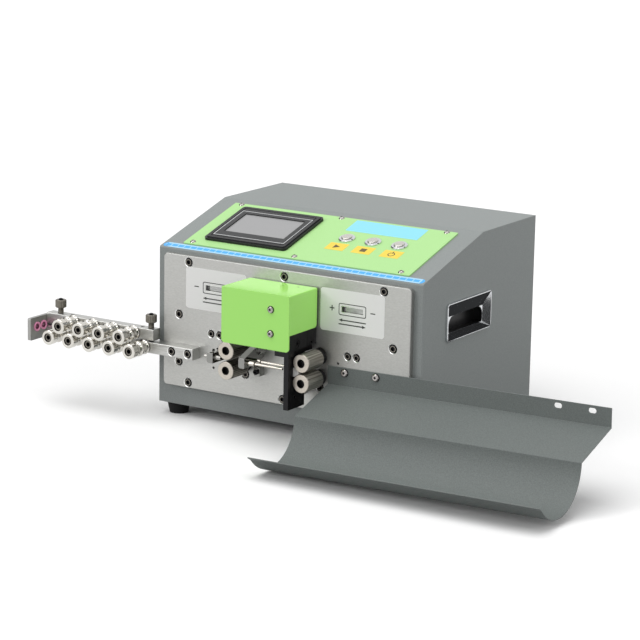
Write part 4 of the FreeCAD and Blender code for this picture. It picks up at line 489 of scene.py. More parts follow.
def arrow(centre_x, y, direction):
    """An arrow's outline; direction is +1 to the right and -1 to the left."""
    tip = centre_x + direction * ARROW_L / 2
    tail = centre_x - direction * ARROW_L / 2
    neck = tip - direction * ARROW_HEAD_L
    half, half_head = ARROW_LINE / 2, ARROW_HEAD_W / 2
    points = [(tail, y - half), (neck, y - half), (neck, y - half_head), (tip, y), (neck, y + half_head),
              (neck, y + half), (tail, y + half)]
    return points if direction > 0 else points[::-1]


def plus_sign(x, y):
    """The outline of a plus sign."""
    a, b = SIGN_LINE / 2, SIGN_SIZE / 2
    steps = [(a, a), (a, b), (-a, b), (-a, a), (-b, a), (-b, -a), (-a, -a), (-a, -b), (a, -b), (a, -a), (b, -a),
             (b, a)]
    return [(x + dx, y + dy) for dx, dy in steps]


print("arrow length in mm:", ARROW_L)

# %% [markdown]
# ## Scale labels
# Each pressure scale is a pale polyester label on the front plate with a cut-out for the window. Round the
# cut-out runs a printed frame. Two printed arrows and a plus and a minus show which way tightens the rollers'
# grip and which way loosens it. Inside the window stands a thin bright trim.

# %% Stick on the scale labels
pale_polyester = new_material("pale polyester film", "#F1F1EF", 0.0, 0.4, IOR=1.5)
give_grain(pale_polyester, 0.8, 0.008, 0.1)
dark_ink = new_material("dark grey ink", "#3A3C3B", 0.0, 0.5, IOR=1.5)
trim_metal = new_material("bright anodised trim", "#D8D9D6", 1.0, 0.25)
LABEL_T = 0.15
INK_T = 0.05
LABEL_X = {"left": (48.1, 142.5), "right": (255.6, 350.0)}
LABEL_Z = (135.0, 190.0)
WINDOW_X = {"left": 95.0, "right": 302.9}
WINDOW_Z = 165.2
WINDOW_SIZE = (33.0, 9.0)
FRAME_SIZE = (40.4, 15.6)
FRAME_LINE = 1.1
TRIM_W = 0.9
TRIM_T = 0.4
TRIM_HEIGHT = -0.6
ARROW_Z = {"left": 151.2, "right": 146.0}
PLUS_OFFSET = {"left": 30.0, "right": -30.0}


def print_on_label(name, outlines):
    """Dark ink on a scale label."""
    cut_sheet(name, outlines, INK_T, PLATE_FACE, LABEL_T, dark_ink)


for side, window_x in WINDOW_X.items():
    window = around(window_x, WINDOW_Z, WINDOW_SIZE, 2.2, 0.4)
    cut_sheet(side + "_scale_label", [rounded_box(*LABEL_X[side], *LABEL_Z, 4.0), window], LABEL_T, PLATE_FACE,
              0.0, pale_polyester)
    frame_inner = around(window_x, WINDOW_Z, FRAME_SIZE, 1.8, -2 * FRAME_LINE)
    print_on_label(side + "_scale_frame", [around(window_x, WINDOW_Z, FRAME_SIZE, 2.6), frame_inner])
    trim_outer = around(window_x, WINDOW_Z, WINDOW_SIZE, 1.95, -0.04)
    trim_inner = around(window_x, WINDOW_Z, WINDOW_SIZE, 1.1, -2 * TRIM_W)
    cut_sheet(side + "_window_trim", [trim_outer, trim_inner], TRIM_T, PLATE_FACE, TRIM_HEIGHT, trim_metal)
    for way, direction in (("left", -1), ("right", 1)):
        print_on_label("%s_scale_arrow_%s" % (side, way), [arrow(window_x, ARROW_Z[way], direction)])
    plus_x = window_x + PLUS_OFFSET[side]
    minus_x = window_x - PLUS_OFFSET[side]
    print_on_label(side + "_plus_sign", [plus_sign(plus_x, WINDOW_Z)])
    print_on_label(side + "_minus_sign", [around(minus_x, WINDOW_Z, (SIGN_SIZE, SIGN_LINE), 0.2)])
    print(side, "scale label is on")

# %% [markdown]
# ## Index tabs
# A small tab on the sliding bar stands in each window and marks the setting. Its front wears a black cap,
# which moves with the bar.

# %% Cap the index tabs
cap_black = new_material("black index cap", "#111112", 0.0, 0.4, IOR=1.5)
TAB_SIZE = (2.7, 7.2)
TAB_FROM_END = 2.9
CAP_T = 0.3
CAP_HEIGHT = -1.0
for side, window_x in WINDOW_X.items():
    tab_x = window_x - WINDOW_SIZE[0] / 2 + TAB_FROM_END
    cut_sheet(side + "_index_cap", [around(tab_x, WINDOW_Z, TAB_SIZE, 0.3)], CAP_T, PLATE_FACE, CAP_HEIGHT,
              cap_black, side + "_slider")
print("tab from the window's end in mm:", TAB_FROM_END)

# %% [markdown]
# ## Console labels
# One wide blue label and three small yellow ones are printed film on the control panel. They carry plain
# symbols only: a triangle for start, a square for stop and a ring with a bar for power.

# %% Stick on the console labels
blue_film = new_material("light blue film", "#8ADCF4", 0.0, 0.4, IOR=1.5)
give_grain(blue_film, 0.8, 0.006, 0.1)
yellow_film = new_material("yellow film", "#F0D244", 0.0, 0.4, IOR=1.5)
give_grain(yellow_film, 0.8, 0.006, 0.1)
brown_ink = new_material("dark brown ink", "#5B4D20", 0.0, 0.5, IOR=1.5)
PANEL_TOP = 1.8
BLUE_X = (222.2, 329.6)
BLUE_S = (107.0, 138.0)
YELLOW_SIZE = (27.8, 19.4)
YELLOW_S = 61.1
START_X, STOP_X, POWER_X = 236.9, 276.7, 318.6
cut_sheet("blue_label", [rounded_box(*BLUE_X, *BLUE_S, 0.6)], LABEL_T, CONSOLE, PANEL_TOP, blue_film)


def circle(x, y, radius, steps=24):
    """Points of a circle."""
    return [(x + radius * math.cos(2 * math.pi * k / steps), y + radius * math.sin(2 * math.pi * k / steps))
            for k in range(steps)]


triangle = [(START_X + dx, YELLOW_S + ds) for dx, ds in ((-4.2, -5.0), (5.0, 0.0), (-4.2, 5.0))]
square = around(STOP_X, YELLOW_S, (8.6, 8.6), 0.4)
ring = [circle(POWER_X, YELLOW_S - 0.6, radius) for radius in (5.0, 3.6)]
symbols = {"start": (START_X, [triangle]), "stop": (STOP_X, [square]), "power": (POWER_X, ring)}
for title, (x, outlines) in symbols.items():
    cut_sheet(title + "_label", [around(x, YELLOW_S, YELLOW_SIZE, 0.6)], LABEL_T, CONSOLE, PANEL_TOP,
              yellow_film)
    cut_sheet(title + "_symbol", outlines, INK_T, CONSOLE, PANEL_TOP + LABEL_T, brown_ink)
cut_sheet("power_symbol_bar", [around(POWER_X, YELLOW_S + 4.4, (1.4, 5.2), 0.3)], INK_T, CONSOLE,
          PANEL_TOP + LABEL_T + INK_T, brown_ink)
print("console labels:", 1 + len(symbols))

# %% [markdown]
# ## Light blue strip
# A printed tape runs along the front edge of the console: pale blue, with a darker round end at each side
# and a row of darker fields.

# %% Lay the strip along the front edge
pale_blue = new_material("pale blue tape", "#A9D7F2", 0.0, 0.4, IOR=1.5)
mid_blue = new_material("mid blue ink", "#43ACF0", 0.0, 0.4, IOR=1.5)
STRIP_X = (2.6, 397.4)
STRIP_S = (0.9, 13.0)
STRIP_EDGE = 0.1
END_L = 4.6
FIELD_PITCH = 9.9
FIELD_SIZE = (8.5, 5.8)
FIRST_FIELD_X = 10.0
strip_mid = sum(STRIP_S) / 2
strip_w = STRIP_S[1] - STRIP_S[0]
end_r = strip_w / 2 - STRIP_EDGE
cut_sheet("edge_tape", [rounded_box(*STRIP_X, *STRIP_S, end_r, 8)], LABEL_T, CONSOLE, 0.0, pale_blue)


def round_end(x, direction):
    """The rounded end field of the tape, END_L long, its tip at x."""
    centre = x - direction * end_r
    reach = math.acos((end_r - END_L) / end_r)
    turns = [-reach + 2 * reach * k / 16 for k in range(17)]
    points = [(centre + direction * end_r * math.cos(turn), strip_mid + end_r * math.sin(turn))
              for turn in turns]
    return points if direction > 0 else points[::-1]


field_count = round((STRIP_X[1] - FIRST_FIELD_X - END_L) / FIELD_PITCH)
fields = [around(FIRST_FIELD_X + i * FIELD_PITCH, strip_mid, FIELD_SIZE, 0.8) for i in range(field_count)]
fields += [round_end(STRIP_X[0] + STRIP_EDGE, -1), round_end(STRIP_X[1] - STRIP_EDGE, 1)]
cut_sheet("tape_fields", fields, INK_T, CONSOLE, LABEL_T, mid_blue)
print("fields:", field_count)

# %% [markdown]
# ## The screen's silver line
# A thin silver line is printed round the display, inside the moulded groove near the frame's edge. Inside
# the line the frame is covered with a dull printed film.

# %% Inlay the screen's line
silver_ink = new_material("silver inlay", "#D5D7D8", 0.7, 0.35)
mask_film = new_material("dark grey mask film", "#2B2C2D", 0.0, 0.42, IOR=1.4)
give_grain(mask_film, 0.6, 0.006, 0.1)
SCREEN_X = (51.0, 178.0)
SCREEN_S = (29.0, 128.0)
SCREEN_TOP = 6.8
LINE_IN = {"left": 8.8, "right": 8.0, "low": 10.4, "top": 15.0}
LINE_W = 1.1
LINE_T = 0.12
MASK_T = 0.1
MASK_HOLE_X = (68.3, 162.0)
MASK_HOLE_S = (52.2, 106.3)


def inset_screen(more, radius):
    """The silver line's outer outline, drawn in by some more."""
    return rounded_box(SCREEN_X[0] + LINE_IN["left"] + more, SCREEN_X[1] - LINE_IN["right"] - more,
                       SCREEN_S[0] + LINE_IN["low"] + more, SCREEN_S[1] - LINE_IN["top"] - more, radius, 2)


line_inner = inset_screen(LINE_W, 0.4)
cut_sheet("screen_line", [inset_screen(0.0, 0.6), line_inner], LINE_T, CONSOLE, SCREEN_TOP, silver_ink)
mask_hole = rounded_box(*MASK_HOLE_X, *MASK_HOLE_S, 0.3, 2)
cut_sheet("screen_mask", [line_inner, mask_hole], MASK_T, CONSOLE, SCREEN_TOP, mask_film)
print("screen line inset in mm:", LINE_IN)

# %% [markdown]
# ## Turned pieces
# Knurls, threads and countersinks are turned work. One function sweeps a closed profile of radius and
# height round an axis, and a second function may shape the radius as it goes round: waves make a knurl, a
# wave that climbs makes a thread, and a six-sided radius makes a hexagon socket.

# %% Sweep a profile round an axis
import numpy as np


def turned(name, profile, places, material, body, steps=48, shape=None):
    """A closed profile of (radius, height) in millimetres, swept round z and copied to its place or places."""
    turn = np.tile(np.linspace(0, 2 * math.pi, steps, endpoint=False), (len(profile), 1))
    radius = np.repeat([[r] for r, _ in profile], steps, axis=1)
    height = np.repeat([[h] for _, h in profile], steps, axis=1)
    if shape:
        radius = shape(turn, radius, height)
    points = np.stack([radius * np.cos(turn), radius * np.sin(turn), height], -1).reshape(-1, 3) * MM
    faces = []
    for i in range(len(profile)):
        row, after = i * steps, (i + 1) % len(profile) * steps
        for j in range(steps):
            k = (j + 1) % steps
            faces.append((row + j, row + k, after + k, after + j))
    all_points, all_faces = [], []
    for place in places if isinstance(places, list) else [places]:
        all_faces += [tuple(v + len(all_points) for v in face) for face in faces]
        all_points += [place @ Vector(point) for point in points.tolist()]
    mesh = bpy.data.meshes.new(name)
    mesh.from_pydata(all_points, [], all_faces)
    mesh.update()
    piece = new_piece(name, mesh, material)
    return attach(piece, body)


def facing_front(x, y, z):
    """A place whose z axis points to the back, so that height grows into the machine."""
    return Matrix.Translation(spot(x, y, z)) @ Matrix.Rotation(math.radians(-90), 4, "X")


def six_sided(turn, radius):
    """The radius of a hexagon whose flats lie at the given radius."""
    third = math.pi / 3
    return radius / np.cos((turn % third) - third / 2)


print("lathe is ready")

# %% [markdown]
# ## Steel that wire has worn
# The feed rollers are hardened steel. Wire leaves worn streaks along their flutes. The input pair is darker,
# which paints the shade that the cover casts on it. The streaks are grain drawn out sixty times along the
# roller.

# %% Streak the rollers' steel
fluted_steel = new_material("fluted roller steel", "#B3AEA4", 1.0, 0.3)
give_grain(fluted_steel, 1.6, 0.01, 0.2, (1.0, 60.0, 1.0), tint=("#8B867D", "#CFCBC2", 0.4, 0.6))
# The input pair's darker steel is painted shade from the cover.
shaded_input_steel = new_material("fluted steel darkened as painted shade", "#7C786F", 1.0, 0.34)
give_grain(shaded_input_steel, 1.6, 0.01, 0.2, (1.0, 60.0, 1.0), tint=("#5C5952", "#8F8B82", 0.4, 0.6))
skin_steel = {"input": shaded_input_steel, "output": fluted_steel}
print("roller skins:", [steel.name for steel in skin_steel.values()])

# %% [markdown]
# ## Fluted feed rollers
# The four feed rollers grip the wire with fine flutes that run along the roller. A bump map would lose their
# outline, so the skin is real geometry, a sleeve whose radius goes up and down as it goes round. The real
# pitch is about 1 mm, and here it is 1.8 mm so that it shows. The recess in each roller's end is lined black,
# which paints the shade in the recess, and a black rubber seal on the shaft keeps dust out of the bearing
# behind the plate.

# %% Flute the feed rollers
recess_shade_black = new_material("black recess lining as painted shade", "#161617", 0.8, 0.35)
ROLLER_R = 11.8
ROLLER_FRONT_Y = -54.0
ROLLER_L = 36.0
FLUTE_PITCH = 1.8
FLUTE_DEPTH = 0.3
WIRE_Z = 86.0
FEED_HALF_GAP = 13.125
FEED_X = {"input": 142.6, "output": 256.8}
FLUTES = round(2 * math.pi * ROLLER_R / FLUTE_PITCH)
POINTS_A_FLUTE = 8
SKIN_START = 1.0
SKIN_L = ROLLER_L - 2 * SKIN_START
BAND_END, FLUTE_START = 0.7, 1.2


def fluted(turn, radius, height):
    """Waves round the outer skin, which run out in a plain band at both ends."""
    at_end = (height < FLUTE_START) | (height > SKIN_L - FLUTE_START)
    cut = np.where(at_end, FLUTE_DEPTH, FLUTE_DEPTH * (1 - np.cos(FLUTES * turn)) / 2)
    return np.where(radius > ROLLER_R, radius - cut, radius)


row_heights = (0.0, BAND_END, FLUTE_START, SKIN_L - FLUTE_START, SKIN_L - BAND_END, SKIN_L)
rows = [(ROLLER_R + FLUTE_DEPTH + 0.03, height) for height in row_heights]
skin_profile = rows + [(ROLLER_R - 0.4, SKIN_L), (ROLLER_R - 0.4, 0.0)]
recess_shade_profile = [(5.55, 0.4), (5.55, 5.3), (0.05, 5.3), (0.05, 5.2), (2.6, 5.2), (2.6, 4.4), (4.9, 4.4),
                (4.9, 0.4)]
seal_profile = [(8.05, 0.3), (9.6, 0.3), (9.9, 0.9), (9.9, 5.0), (9.2, 6.0), (9.9, 7.0), (9.9, 8.8), (9.4, 9.5),
                (8.05, 9.5)]
for side, x in FEED_X.items():
    for level, z in (("lower", WIRE_Z - FEED_HALF_GAP), ("upper", WIRE_Z + FEED_HALF_GAP)):
        roller = "%s_%s" % (side, level)
        body = roller + "_feed"
        turned(roller + "_flutes", skin_profile, facing_front(x, ROLLER_FRONT_Y + SKIN_START, z),
               skin_steel[side], body, FLUTES * POINTS_A_FLUTE, fluted)
        # The black lining paints the shade in the roller's end recess.
        turned(roller + "_recess_shade", recess_shade_profile, facing_front(x, ROLLER_FRONT_Y, z), recess_shade_black, body)
        turned(roller + "_seal", seal_profile, facing_front(x, ROLLER_FRONT_Y + ROLLER_L, z), rubber, body)
print("flutes on a roller:", FLUTES)

# %% [markdown]
# ## Adjusting screws
# Two knurled screws press the upper bar of the straightener down. The head has a straight knurl for the
# fingers, and its shank has a real thread. One function shapes all three: it adds the thread's wave on the
# shank, the ridges on the head, and the six flats in the socket.

# %% Shape a threaded and knurled screw
SCREW_XS = {"left": -151.2, "right": -1.3}
BAR_FACE_Y = -25.5
SCREW_Y = (BAR_FACE_Y + FRONT_FACE_Y) / 2
FOOT_Z, THREAD_Z0, SEAT_Z, HEAD_Z1 = 78.95, 85.2, 109.7, 120.3
SHANK_R, HEAD_R = 4.0, 7.6
THREAD_PITCH, THREAD_DEPTH = 1.25, 0.55
HEAD_RIDGES, RIDGE_DEPTH = 22, 0.5
SOCKET_ACROSS, SOCKET_DEPTH = 7.0, 5.0


def screw_shape(turn, radius, height):
    """A thread on the shank, ridges on the head and six flats in the socket."""
    climb = height / THREAD_PITCH * 2 * math.pi - turn
    on_shank = np.isclose(radius, SHANK_R) & (height > THREAD_Z0 + 0.5) & (height < SEAT_Z - 0.8)
    on_head = np.isclose(radius, HEAD_R) & (height > SEAT_Z)
    in_socket = np.isclose(radius, SOCKET_ACROSS / 2)
    threaded = radius - THREAD_DEPTH * np.abs((climb / math.pi) % 2 - 1)
    ridged = radius - RIDGE_DEPTH * np.abs(np.sin(turn * HEAD_RIDGES / 2))
    shaped = np.where(on_shank, threaded, radius)
    shaped = np.where(on_head, ridged, shaped)
    return np.where(in_socket, six_sided(turn, radius), shaped)


print("head in mm:", 2 * HEAD_R, "thread pitch:", THREAD_PITCH)

# %% [markdown]
# The profile climbs the shank in steps of a sixth of a turn, so that each ridge of the thread gets enough
# points. The screws are steel with a dark zinc plate, and in the head's socket sits a small black lock screw.
# The plain solids hold their place in the frame, and these finer pieces stand for them.

# %% Turn the adjusting screws
dark_zinc = new_material("dark zinc-plated steel", "#78746C", 1.0, 0.36)
give_grain(dark_zinc, 0.6, 0.006, 0.2)
ROWS_A_TURN = 6
row_count = int((SEAT_Z - THREAD_Z0 - 0.5) * ROWS_A_TURN / THREAD_PITCH)
thread_rows = [(SHANK_R, THREAD_Z0 + 0.3 + k * THREAD_PITCH / ROWS_A_TURN) for k in range(row_count)]
socket_r, socket_z = SOCKET_ACROSS / 2, HEAD_Z1 - SOCKET_DEPTH
screw_profile = [(0.05, FOOT_Z), (2.6, FOOT_Z), (3.0, FOOT_Z + 0.4), (3.0, THREAD_Z0)]
screw_profile += [(SHANK_R - 0.4, THREAD_Z0), *thread_rows, (SHANK_R, SEAT_Z)]
screw_profile += [(HEAD_R - 1.0, SEAT_Z), (HEAD_R, SEAT_Z + 1.0), (HEAD_R, HEAD_Z1 - 1.0),
                  (HEAD_R - 1.0, HEAD_Z1), (socket_r + 0.7, HEAD_Z1), (socket_r, HEAD_Z1 - 0.5),
                  (socket_r, socket_z), (0.05, socket_z - 0.8)]
lock_profile = [(0.05, socket_z), (2.8, socket_z), (2.8, HEAD_Z1 + 1.0), (2.2, HEAD_Z1 + 1.7),
                (1.4, HEAD_Z1 + 1.7), (1.4, HEAD_Z1 - 0.5), (0.05, HEAD_Z1 - 0.5)]
for side, x in SCREW_XS.items():
    place = Matrix.Translation(spot(x, SCREW_Y, 0.0))
    turned("adjusting_lock_" + side, lock_profile, place, black_oxide, "adjusting_" + side)
    screw = turned("adjusting_screw_%s_turned" % side, screw_profile, place, dark_zinc, "adjusting_" + side,
                   192, screw_shape)
    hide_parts("adjusting_screw_" + side)
print("thread turns:", round((SEAT_Z - THREAD_Z0) / THREAD_PITCH, 1))

# %% [markdown]
# ## Where the black screws are
# The front plate is held by ten screws round its edge. Two more hold the blocks under the rollers, four
# small ones the motors, and two the lower bar. Nine screws are the axles of the straightening rollers.

# %% List the black screws
MID_X = 200.0
BAR_Z = 77.4
UPPER_AXLE_Z = 94.6
FIRST_LOWER_X, FIRST_UPPER_X = -139.6, -123.0
AXLE_PITCH = 33.2
BLOCK_SCREW_DROP = 13.8
plate_screws = [(MID_X + dx, z) for z in (195.5, 34.2) for dx in (-148.0, 0.0, 148.0)]
plate_screws += [(MID_X + dx, z) for z in (60.8, 124.5) for dx in (-163.0, 163.0)]
block_screws = [(x, WIRE_Z - FEED_HALF_GAP - BLOCK_SCREW_DROP) for x in FEED_X.values()]
small_screws = [(MID_X + dx, 105.0) for dx in (-111.8, -98.8, 97.0, 110.0)]
bar_screws = [(37.3, BAR_Z), (62.8, BAR_Z)]
lower_axles = [(FIRST_LOWER_X + AXLE_PITCH * i, BAR_Z) for i in range(5)]
upper_axles = [(FIRST_UPPER_X + AXLE_PITCH * i, UPPER_AXLE_Z) for i in range(4)]
print("screws:", len(plate_screws + block_screws + small_screws + bar_screws + lower_axles + upper_axles))

# %% [markdown]
# ## Screw heads in their bores
# Each black screw sits in a bore whose edge was countersunk after blasting. The fresh cut stays bright. The gap
# round the head is painted black as its shadow, and a grey ring on each head is a painted highlight of its
# chamfer. That makes a light ring, a black one, a grey one and a black middle.

# %% Ring the screw heads
fresh_cut = new_material("fresh-cut aluminium", "#F2F2F0", 1.0, 0.3)
# Painted shadow for the gaps round the heads, and a painted highlight for the heads' chamfers.
painted_shadow_black = new_material("painted shadow black", "#0B0B0C", 0.0, 0.5, IOR=1.4)
painted_highlight_oxide = new_material("black oxide with painted highlight", "#7F7B73", 1.0, 0.3)
give_grain(painted_highlight_oxide, 0.5, 0.004, 0.1)
RING_W = 1.0
HEAD_PROUD = 0.3
HIGHLIGHT_T = 0.06
# Each screw's head radius, its bore's radius, and the inner and outer radius of its ring of painted highlight.
LARGE_SCREW = (5.0, 5.5, (3.1, 4.1))
SMALL_SCREW = (4.2, 4.7, (2.6, 3.4))
AXLE_HIGHLIGHT = (3.3, 4.6)
AXLE_FACE_Y = -59.3


def ring_at(name, places, y, inner, outer, depth, material, body="machine"):
    """Flat rings round several centres; their front is at y and they reach back by the depth."""
    profile = [(inner, 0.0), (inner, depth), (outer, depth), (outer, 0.0)]
    turned(name, profile, [facing_front(x, y, z) for x, z in places], material, body)


def dress_bores(name, places, face_y, head_r, bore_r, highlight_radii):
    """The bright countersink, painted gap shadow and painted highlight ring of several screws; highlight_radii
    is the ring's inner and outer radius.
    """
    cone = [(bore_r + 0.02, RING_W), (bore_r + RING_W, 0.02), (bore_r + RING_W - 0.08, 0.0),
            (bore_r - 0.06, RING_W - 0.1)]
    on_face = [facing_front(x, face_y - 0.02, z) for x, z in places]
    turned(name + "_countersinks", cone, on_face, fresh_cut, "machine")
    # The black ring in each gap is painted shadow.
    ring_at(name + "_painted_gap_shadows", places, face_y + 0.5, head_r + 0.03, bore_r - 0.03, 1.5, painted_shadow_black)
    # The grey ring on each head is a painted highlight.
    ring_at(name + "_painted_highlights", places, face_y - HEAD_PROUD - HIGHLIGHT_T / 2, *highlight_radii, HIGHLIGHT_T, painted_highlight_oxide)


dress_bores("plate_screw", plate_screws + block_screws, FRONT_FACE_Y, *LARGE_SCREW)
dress_bores("small_screw", small_screws, FRONT_FACE_Y, *SMALL_SCREW)
dress_bores("bar_screw", bar_screws, BAR_FACE_Y, *LARGE_SCREW)
# The grey rings on the axle heads are painted highlights.
ring_at("lower_axle_painted_highlights", lower_axles, AXLE_FACE_Y - HIGHLIGHT_T / 2, *AXLE_HIGHLIGHT, HIGHLIGHT_T, painted_highlight_oxide)
ring_at("upper_axle_painted_highlights", upper_axles, AXLE_FACE_Y - HIGHLIGHT_T / 2, *AXLE_HIGHLIGHT, HIGHLIGHT_T, painted_highlight_oxide, "upper_bar")
print("dressed bores:", len(plate_screws + block_screws + small_screws + bar_screws))

# %% [markdown]
# ## Chrome screws
# The cover and the tray are held by chrome screws with a chamfered head. A black ring under each head paints
# the shadow round its rim, and black in each hexagon socket paints the shade inside it. The solids have the
# plain head, and these thin shells stand over it. Two small holes in the top of the cover are black with
# shadow.

# %% Seat the chrome screws
COVER_SCREWS = [(224.6, 137.4), (224.6, 168.4)]
TRAY_SCREWS = [(294.1, 83.7), (340.0, 84.5)]
COVER_FACE_Y, COVER_HEAD_R = -75.0, 4.1
TRAY_FACE_Y, TRAY_HEAD_R = -9.2, 4.85
HEAD_H = 2.9
CHAMFER_W, CHAMFER_H = 1.3, 0.9
HOLE_R = 1.6
RIM_SHADOW_T = 0.4


def six_sided_hole(turn, radius, height):
    """The inner edge becomes a hexagon, and the rest stays round."""
    return np.where(radius < HOLE_R + 0.1, six_sided(turn, radius), radius)


def chrome_screws(kind, places, seat_y, head_r):
    """The chamfered heads of a kind of screw, with painted shadow in their sockets and round their rims."""
    tops = [facing_front(x, seat_y - HEAD_H, z) for x, z in places]
    shell_r = head_r - 0.1
    head = [(HOLE_R, 0.0), (head_r - CHAMFER_W, 0.0), (head_r, CHAMFER_H), (head_r, HEAD_H), (shell_r, HEAD_H),
            (shell_r, CHAMFER_H + 0.1), (HOLE_R, CHAMFER_H)]
    socket = [(0.05, 0.7), (HOLE_R + 0.2, 0.7), (HOLE_R + 0.2, 1.5), (0.05, 1.5)]
    turned(kind + "_screw_heads", head, tops, screw_chrome, "machine", 48, six_sided_hole)
    # Painted shadow in the sockets and round the heads.
    turned(kind + "_painted_socket_shadows", socket, tops, painted_shadow_black, "machine")
    ring_at(kind + "_painted_rim_shadows", places, seat_y - RIM_SHADOW_T, head_r - 0.05, head_r + 0.6, RIM_SHADOW_T, painted_shadow_black)


chrome_screws("cover", COVER_SCREWS, COVER_FACE_Y, COVER_HEAD_R)
chrome_screws("tray", TRAY_SCREWS, TRAY_FACE_Y, TRAY_HEAD_R)
COVER_TOP_Z = 188.5
COVER_HOLES = [(209.0, -23.7), (230.5, -21.5)]
plug_profile = [(0.05, -0.9), (1.55, -0.9), (1.55, -0.3), (0.05, -0.3)]
hole_places = [Matrix.Translation(spot(x, y, COVER_TOP_Z)) for x, y in COVER_HOLES]
turned("cover_hole_shadows", plug_profile, hole_places, painted_shadow_black, "machine")
print("chrome screws:", len(COVER_SCREWS + TRAY_SCREWS))

# %% [markdown]
# ## Eyelet bores
# A thin dark lining in the bore of each ceramic eyelet paints the shade inside the bore.

# %% Darken the eyelets' bores
painted_bore_shade = new_material("painted shade in eyelet bores", "#6E1F45", 0.0, 0.3, IOR=1.6)
EYELET_X = -174.2
EYELET_YS = (-46.0, -32.0)
bore_shade_profile = [(3.28, 0.0), (3.28, 6.2), (3.0, 6.2), (3.0, 0.0)]
sideways = Matrix.Rotation(math.radians(90), 4, "Y")
bores = [Matrix.Translation(spot(EYELET_X, y, WIRE_Z)) @ sideways for y in EYELET_YS]
# The dark lining is painted shade.
turned("eyelet_bore_shades", bore_shade_profile, bores, painted_bore_shade, "machine")
print("eyelet bore shades:", len(EYELET_YS))

# %% [markdown]
# ## Handle pockets
# Behind the chrome handle's mouth sits a black moulded tub that keeps fingers out of the housing. It is a
# box with draft on its walls, drawn back from its open side.

# %% Set the tubs behind the handles
import bmesh

tub_black = new_material("black moulded tub", "#141415", 0.0, 0.4, IOR=1.5)
give_grain(tub_black, 0.8, 0.02, 0.4)
TUB_X = (379.6, 395.3)
TUB_Y = (64.0, 166.0)
TUB_Z = (131.0, 168.5)
TUB_WALL = 0.8
TUB_DRAFT = 0.3


def open_tub(name, place):
    """A box without its right side: the face is drawn in for the rim and pushed back for the hollow."""
    mesh = bpy.data.meshes.new(name)
    work = bmesh.new()
    bmesh.ops.create_cube(work, size=1.0)
    middle = spot(*[sum(side) / 2 for side in (TUB_X, TUB_Y, TUB_Z)])
    size = [side[1] - side[0] for side in (TUB_X, TUB_Y, TUB_Z)]
    for vert in work.verts:
        vert.co = middle + Vector([c * s * MM for c, s in zip(vert.co, size)])
    mouth = max(work.faces, key=lambda face: face.calc_center_median().x)
    for step in (TUB_WALL, TUB_DRAFT):
        bmesh.ops.inset_individual(work, faces=[mouth], thickness=step * MM)
    for vert in mouth.verts:
        vert.co.x -= (size[0] - TUB_WALL) * MM
    work.to_mesh(mesh)
    work.free()
    mesh.transform(place)
    if place.determinant() < 0:
        mesh.flip_normals()
    tub = new_piece(name, mesh, tub_black)
    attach(tub, "machine")


middle_x = spot(MID_X, 0, 0).x
to_middle = Matrix.Translation((middle_x, 0, 0))
mirror = to_middle @ Matrix.Scale(-1, 4, (1, 0, 0)) @ to_middle.inverted()
open_tub("right_handle_tub", Matrix())
open_tub("left_handle_tub", mirror)
print("tub depth in mm:", round(TUB_X[1] - TUB_X[0] - TUB_WALL, 1))

# %% [markdown]
# ## Studio floor
# The machine stands on a plain white floor, lit by the same lamps, so that it keeps a soft shadow. The camera
# and mirrors see the floor white, but the light it throws back up at the machine is that of a grey one,
# which keeps the front of the machine from being washed out from below.

# %% Lay the floor
FLOOR_HALF = 30.0
white_floor = new_material("white studio floor", "#FBFBFB", 0.0, 0.9, Specular_IOR_Level=0.0)
ray = add_node(white_floor, "ShaderNodeLightPath").outputs
mirror_or_eye = add_node(white_floor, "ShaderNodeMath", {0: ray["Is Camera Ray"], 1: ray["Is Glossy Ray"]},
                         operation="MAXIMUM").outputs[0]
seen_colour = add_node(white_floor, "ShaderNodeMix", {"Factor": mirror_or_eye, MIX_A: colour("#9A9A9A"),
                                                      MIX_B: colour("#FFFFFF")}, data_type="RGBA")
white_floor.node_tree.links.new(seen_colour.outputs[MIX_RESULT], shader_input(white_floor, "Base Color"))


def stage_sheet(name, corners, material):
    """A flat four-cornered stage piece."""
    mesh = bpy.data.meshes.new(name)
    mesh.from_pydata(corners, [], [(0, 1, 2, 3)])
    sheet = new_piece(name, mesh, material)
    return sheet


SQUARE = ((-1, -1), (1, -1), (1, 1), (-1, 1))
stage_sheet("studio_floor", [(x * FLOOR_HALF, y * FLOOR_HALF, 0) for x, y in SQUARE], white_floor)
print("floor in metres:", 2 * FLOOR_HALF)

# %% [markdown]
# ## Black flags
# Polished metal shows only what is round it, and in an all-white room chrome looks like paper. Photographers
# stand black cards beside the table to draw dark bands on it. These cards are seen by mirrors only: the
# camera looks through them and they throw no shadow. Two small ones lie on the floor to the right, where the
# slopes of the chrome handle look.

# %% Stand the flags
flag_black = new_material("black flag", "#101214", 0.0, 0.9)


def flag(name, centre, width, height, facing_degrees, tilt_degrees=0.0):
    """A black card in metres; it leans back, then turns about the upright."""
    facing = Matrix.Rotation(math.radians(facing_degrees), 4, "Z")
    place = Matrix.Translation(centre) @ facing @ Matrix.Rotation(math.radians(tilt_degrees), 4, "X")
    corners = [place @ Vector((x * width / 2, 0, z * height / 2)) for x, z in SQUARE]
    card = stage_sheet(name, [tuple(corner) for corner in corners], flag_black)
    card.visible_camera = False
    card.visible_diffuse = False
    card.visible_shadow = False
    card.visible_transmission = False


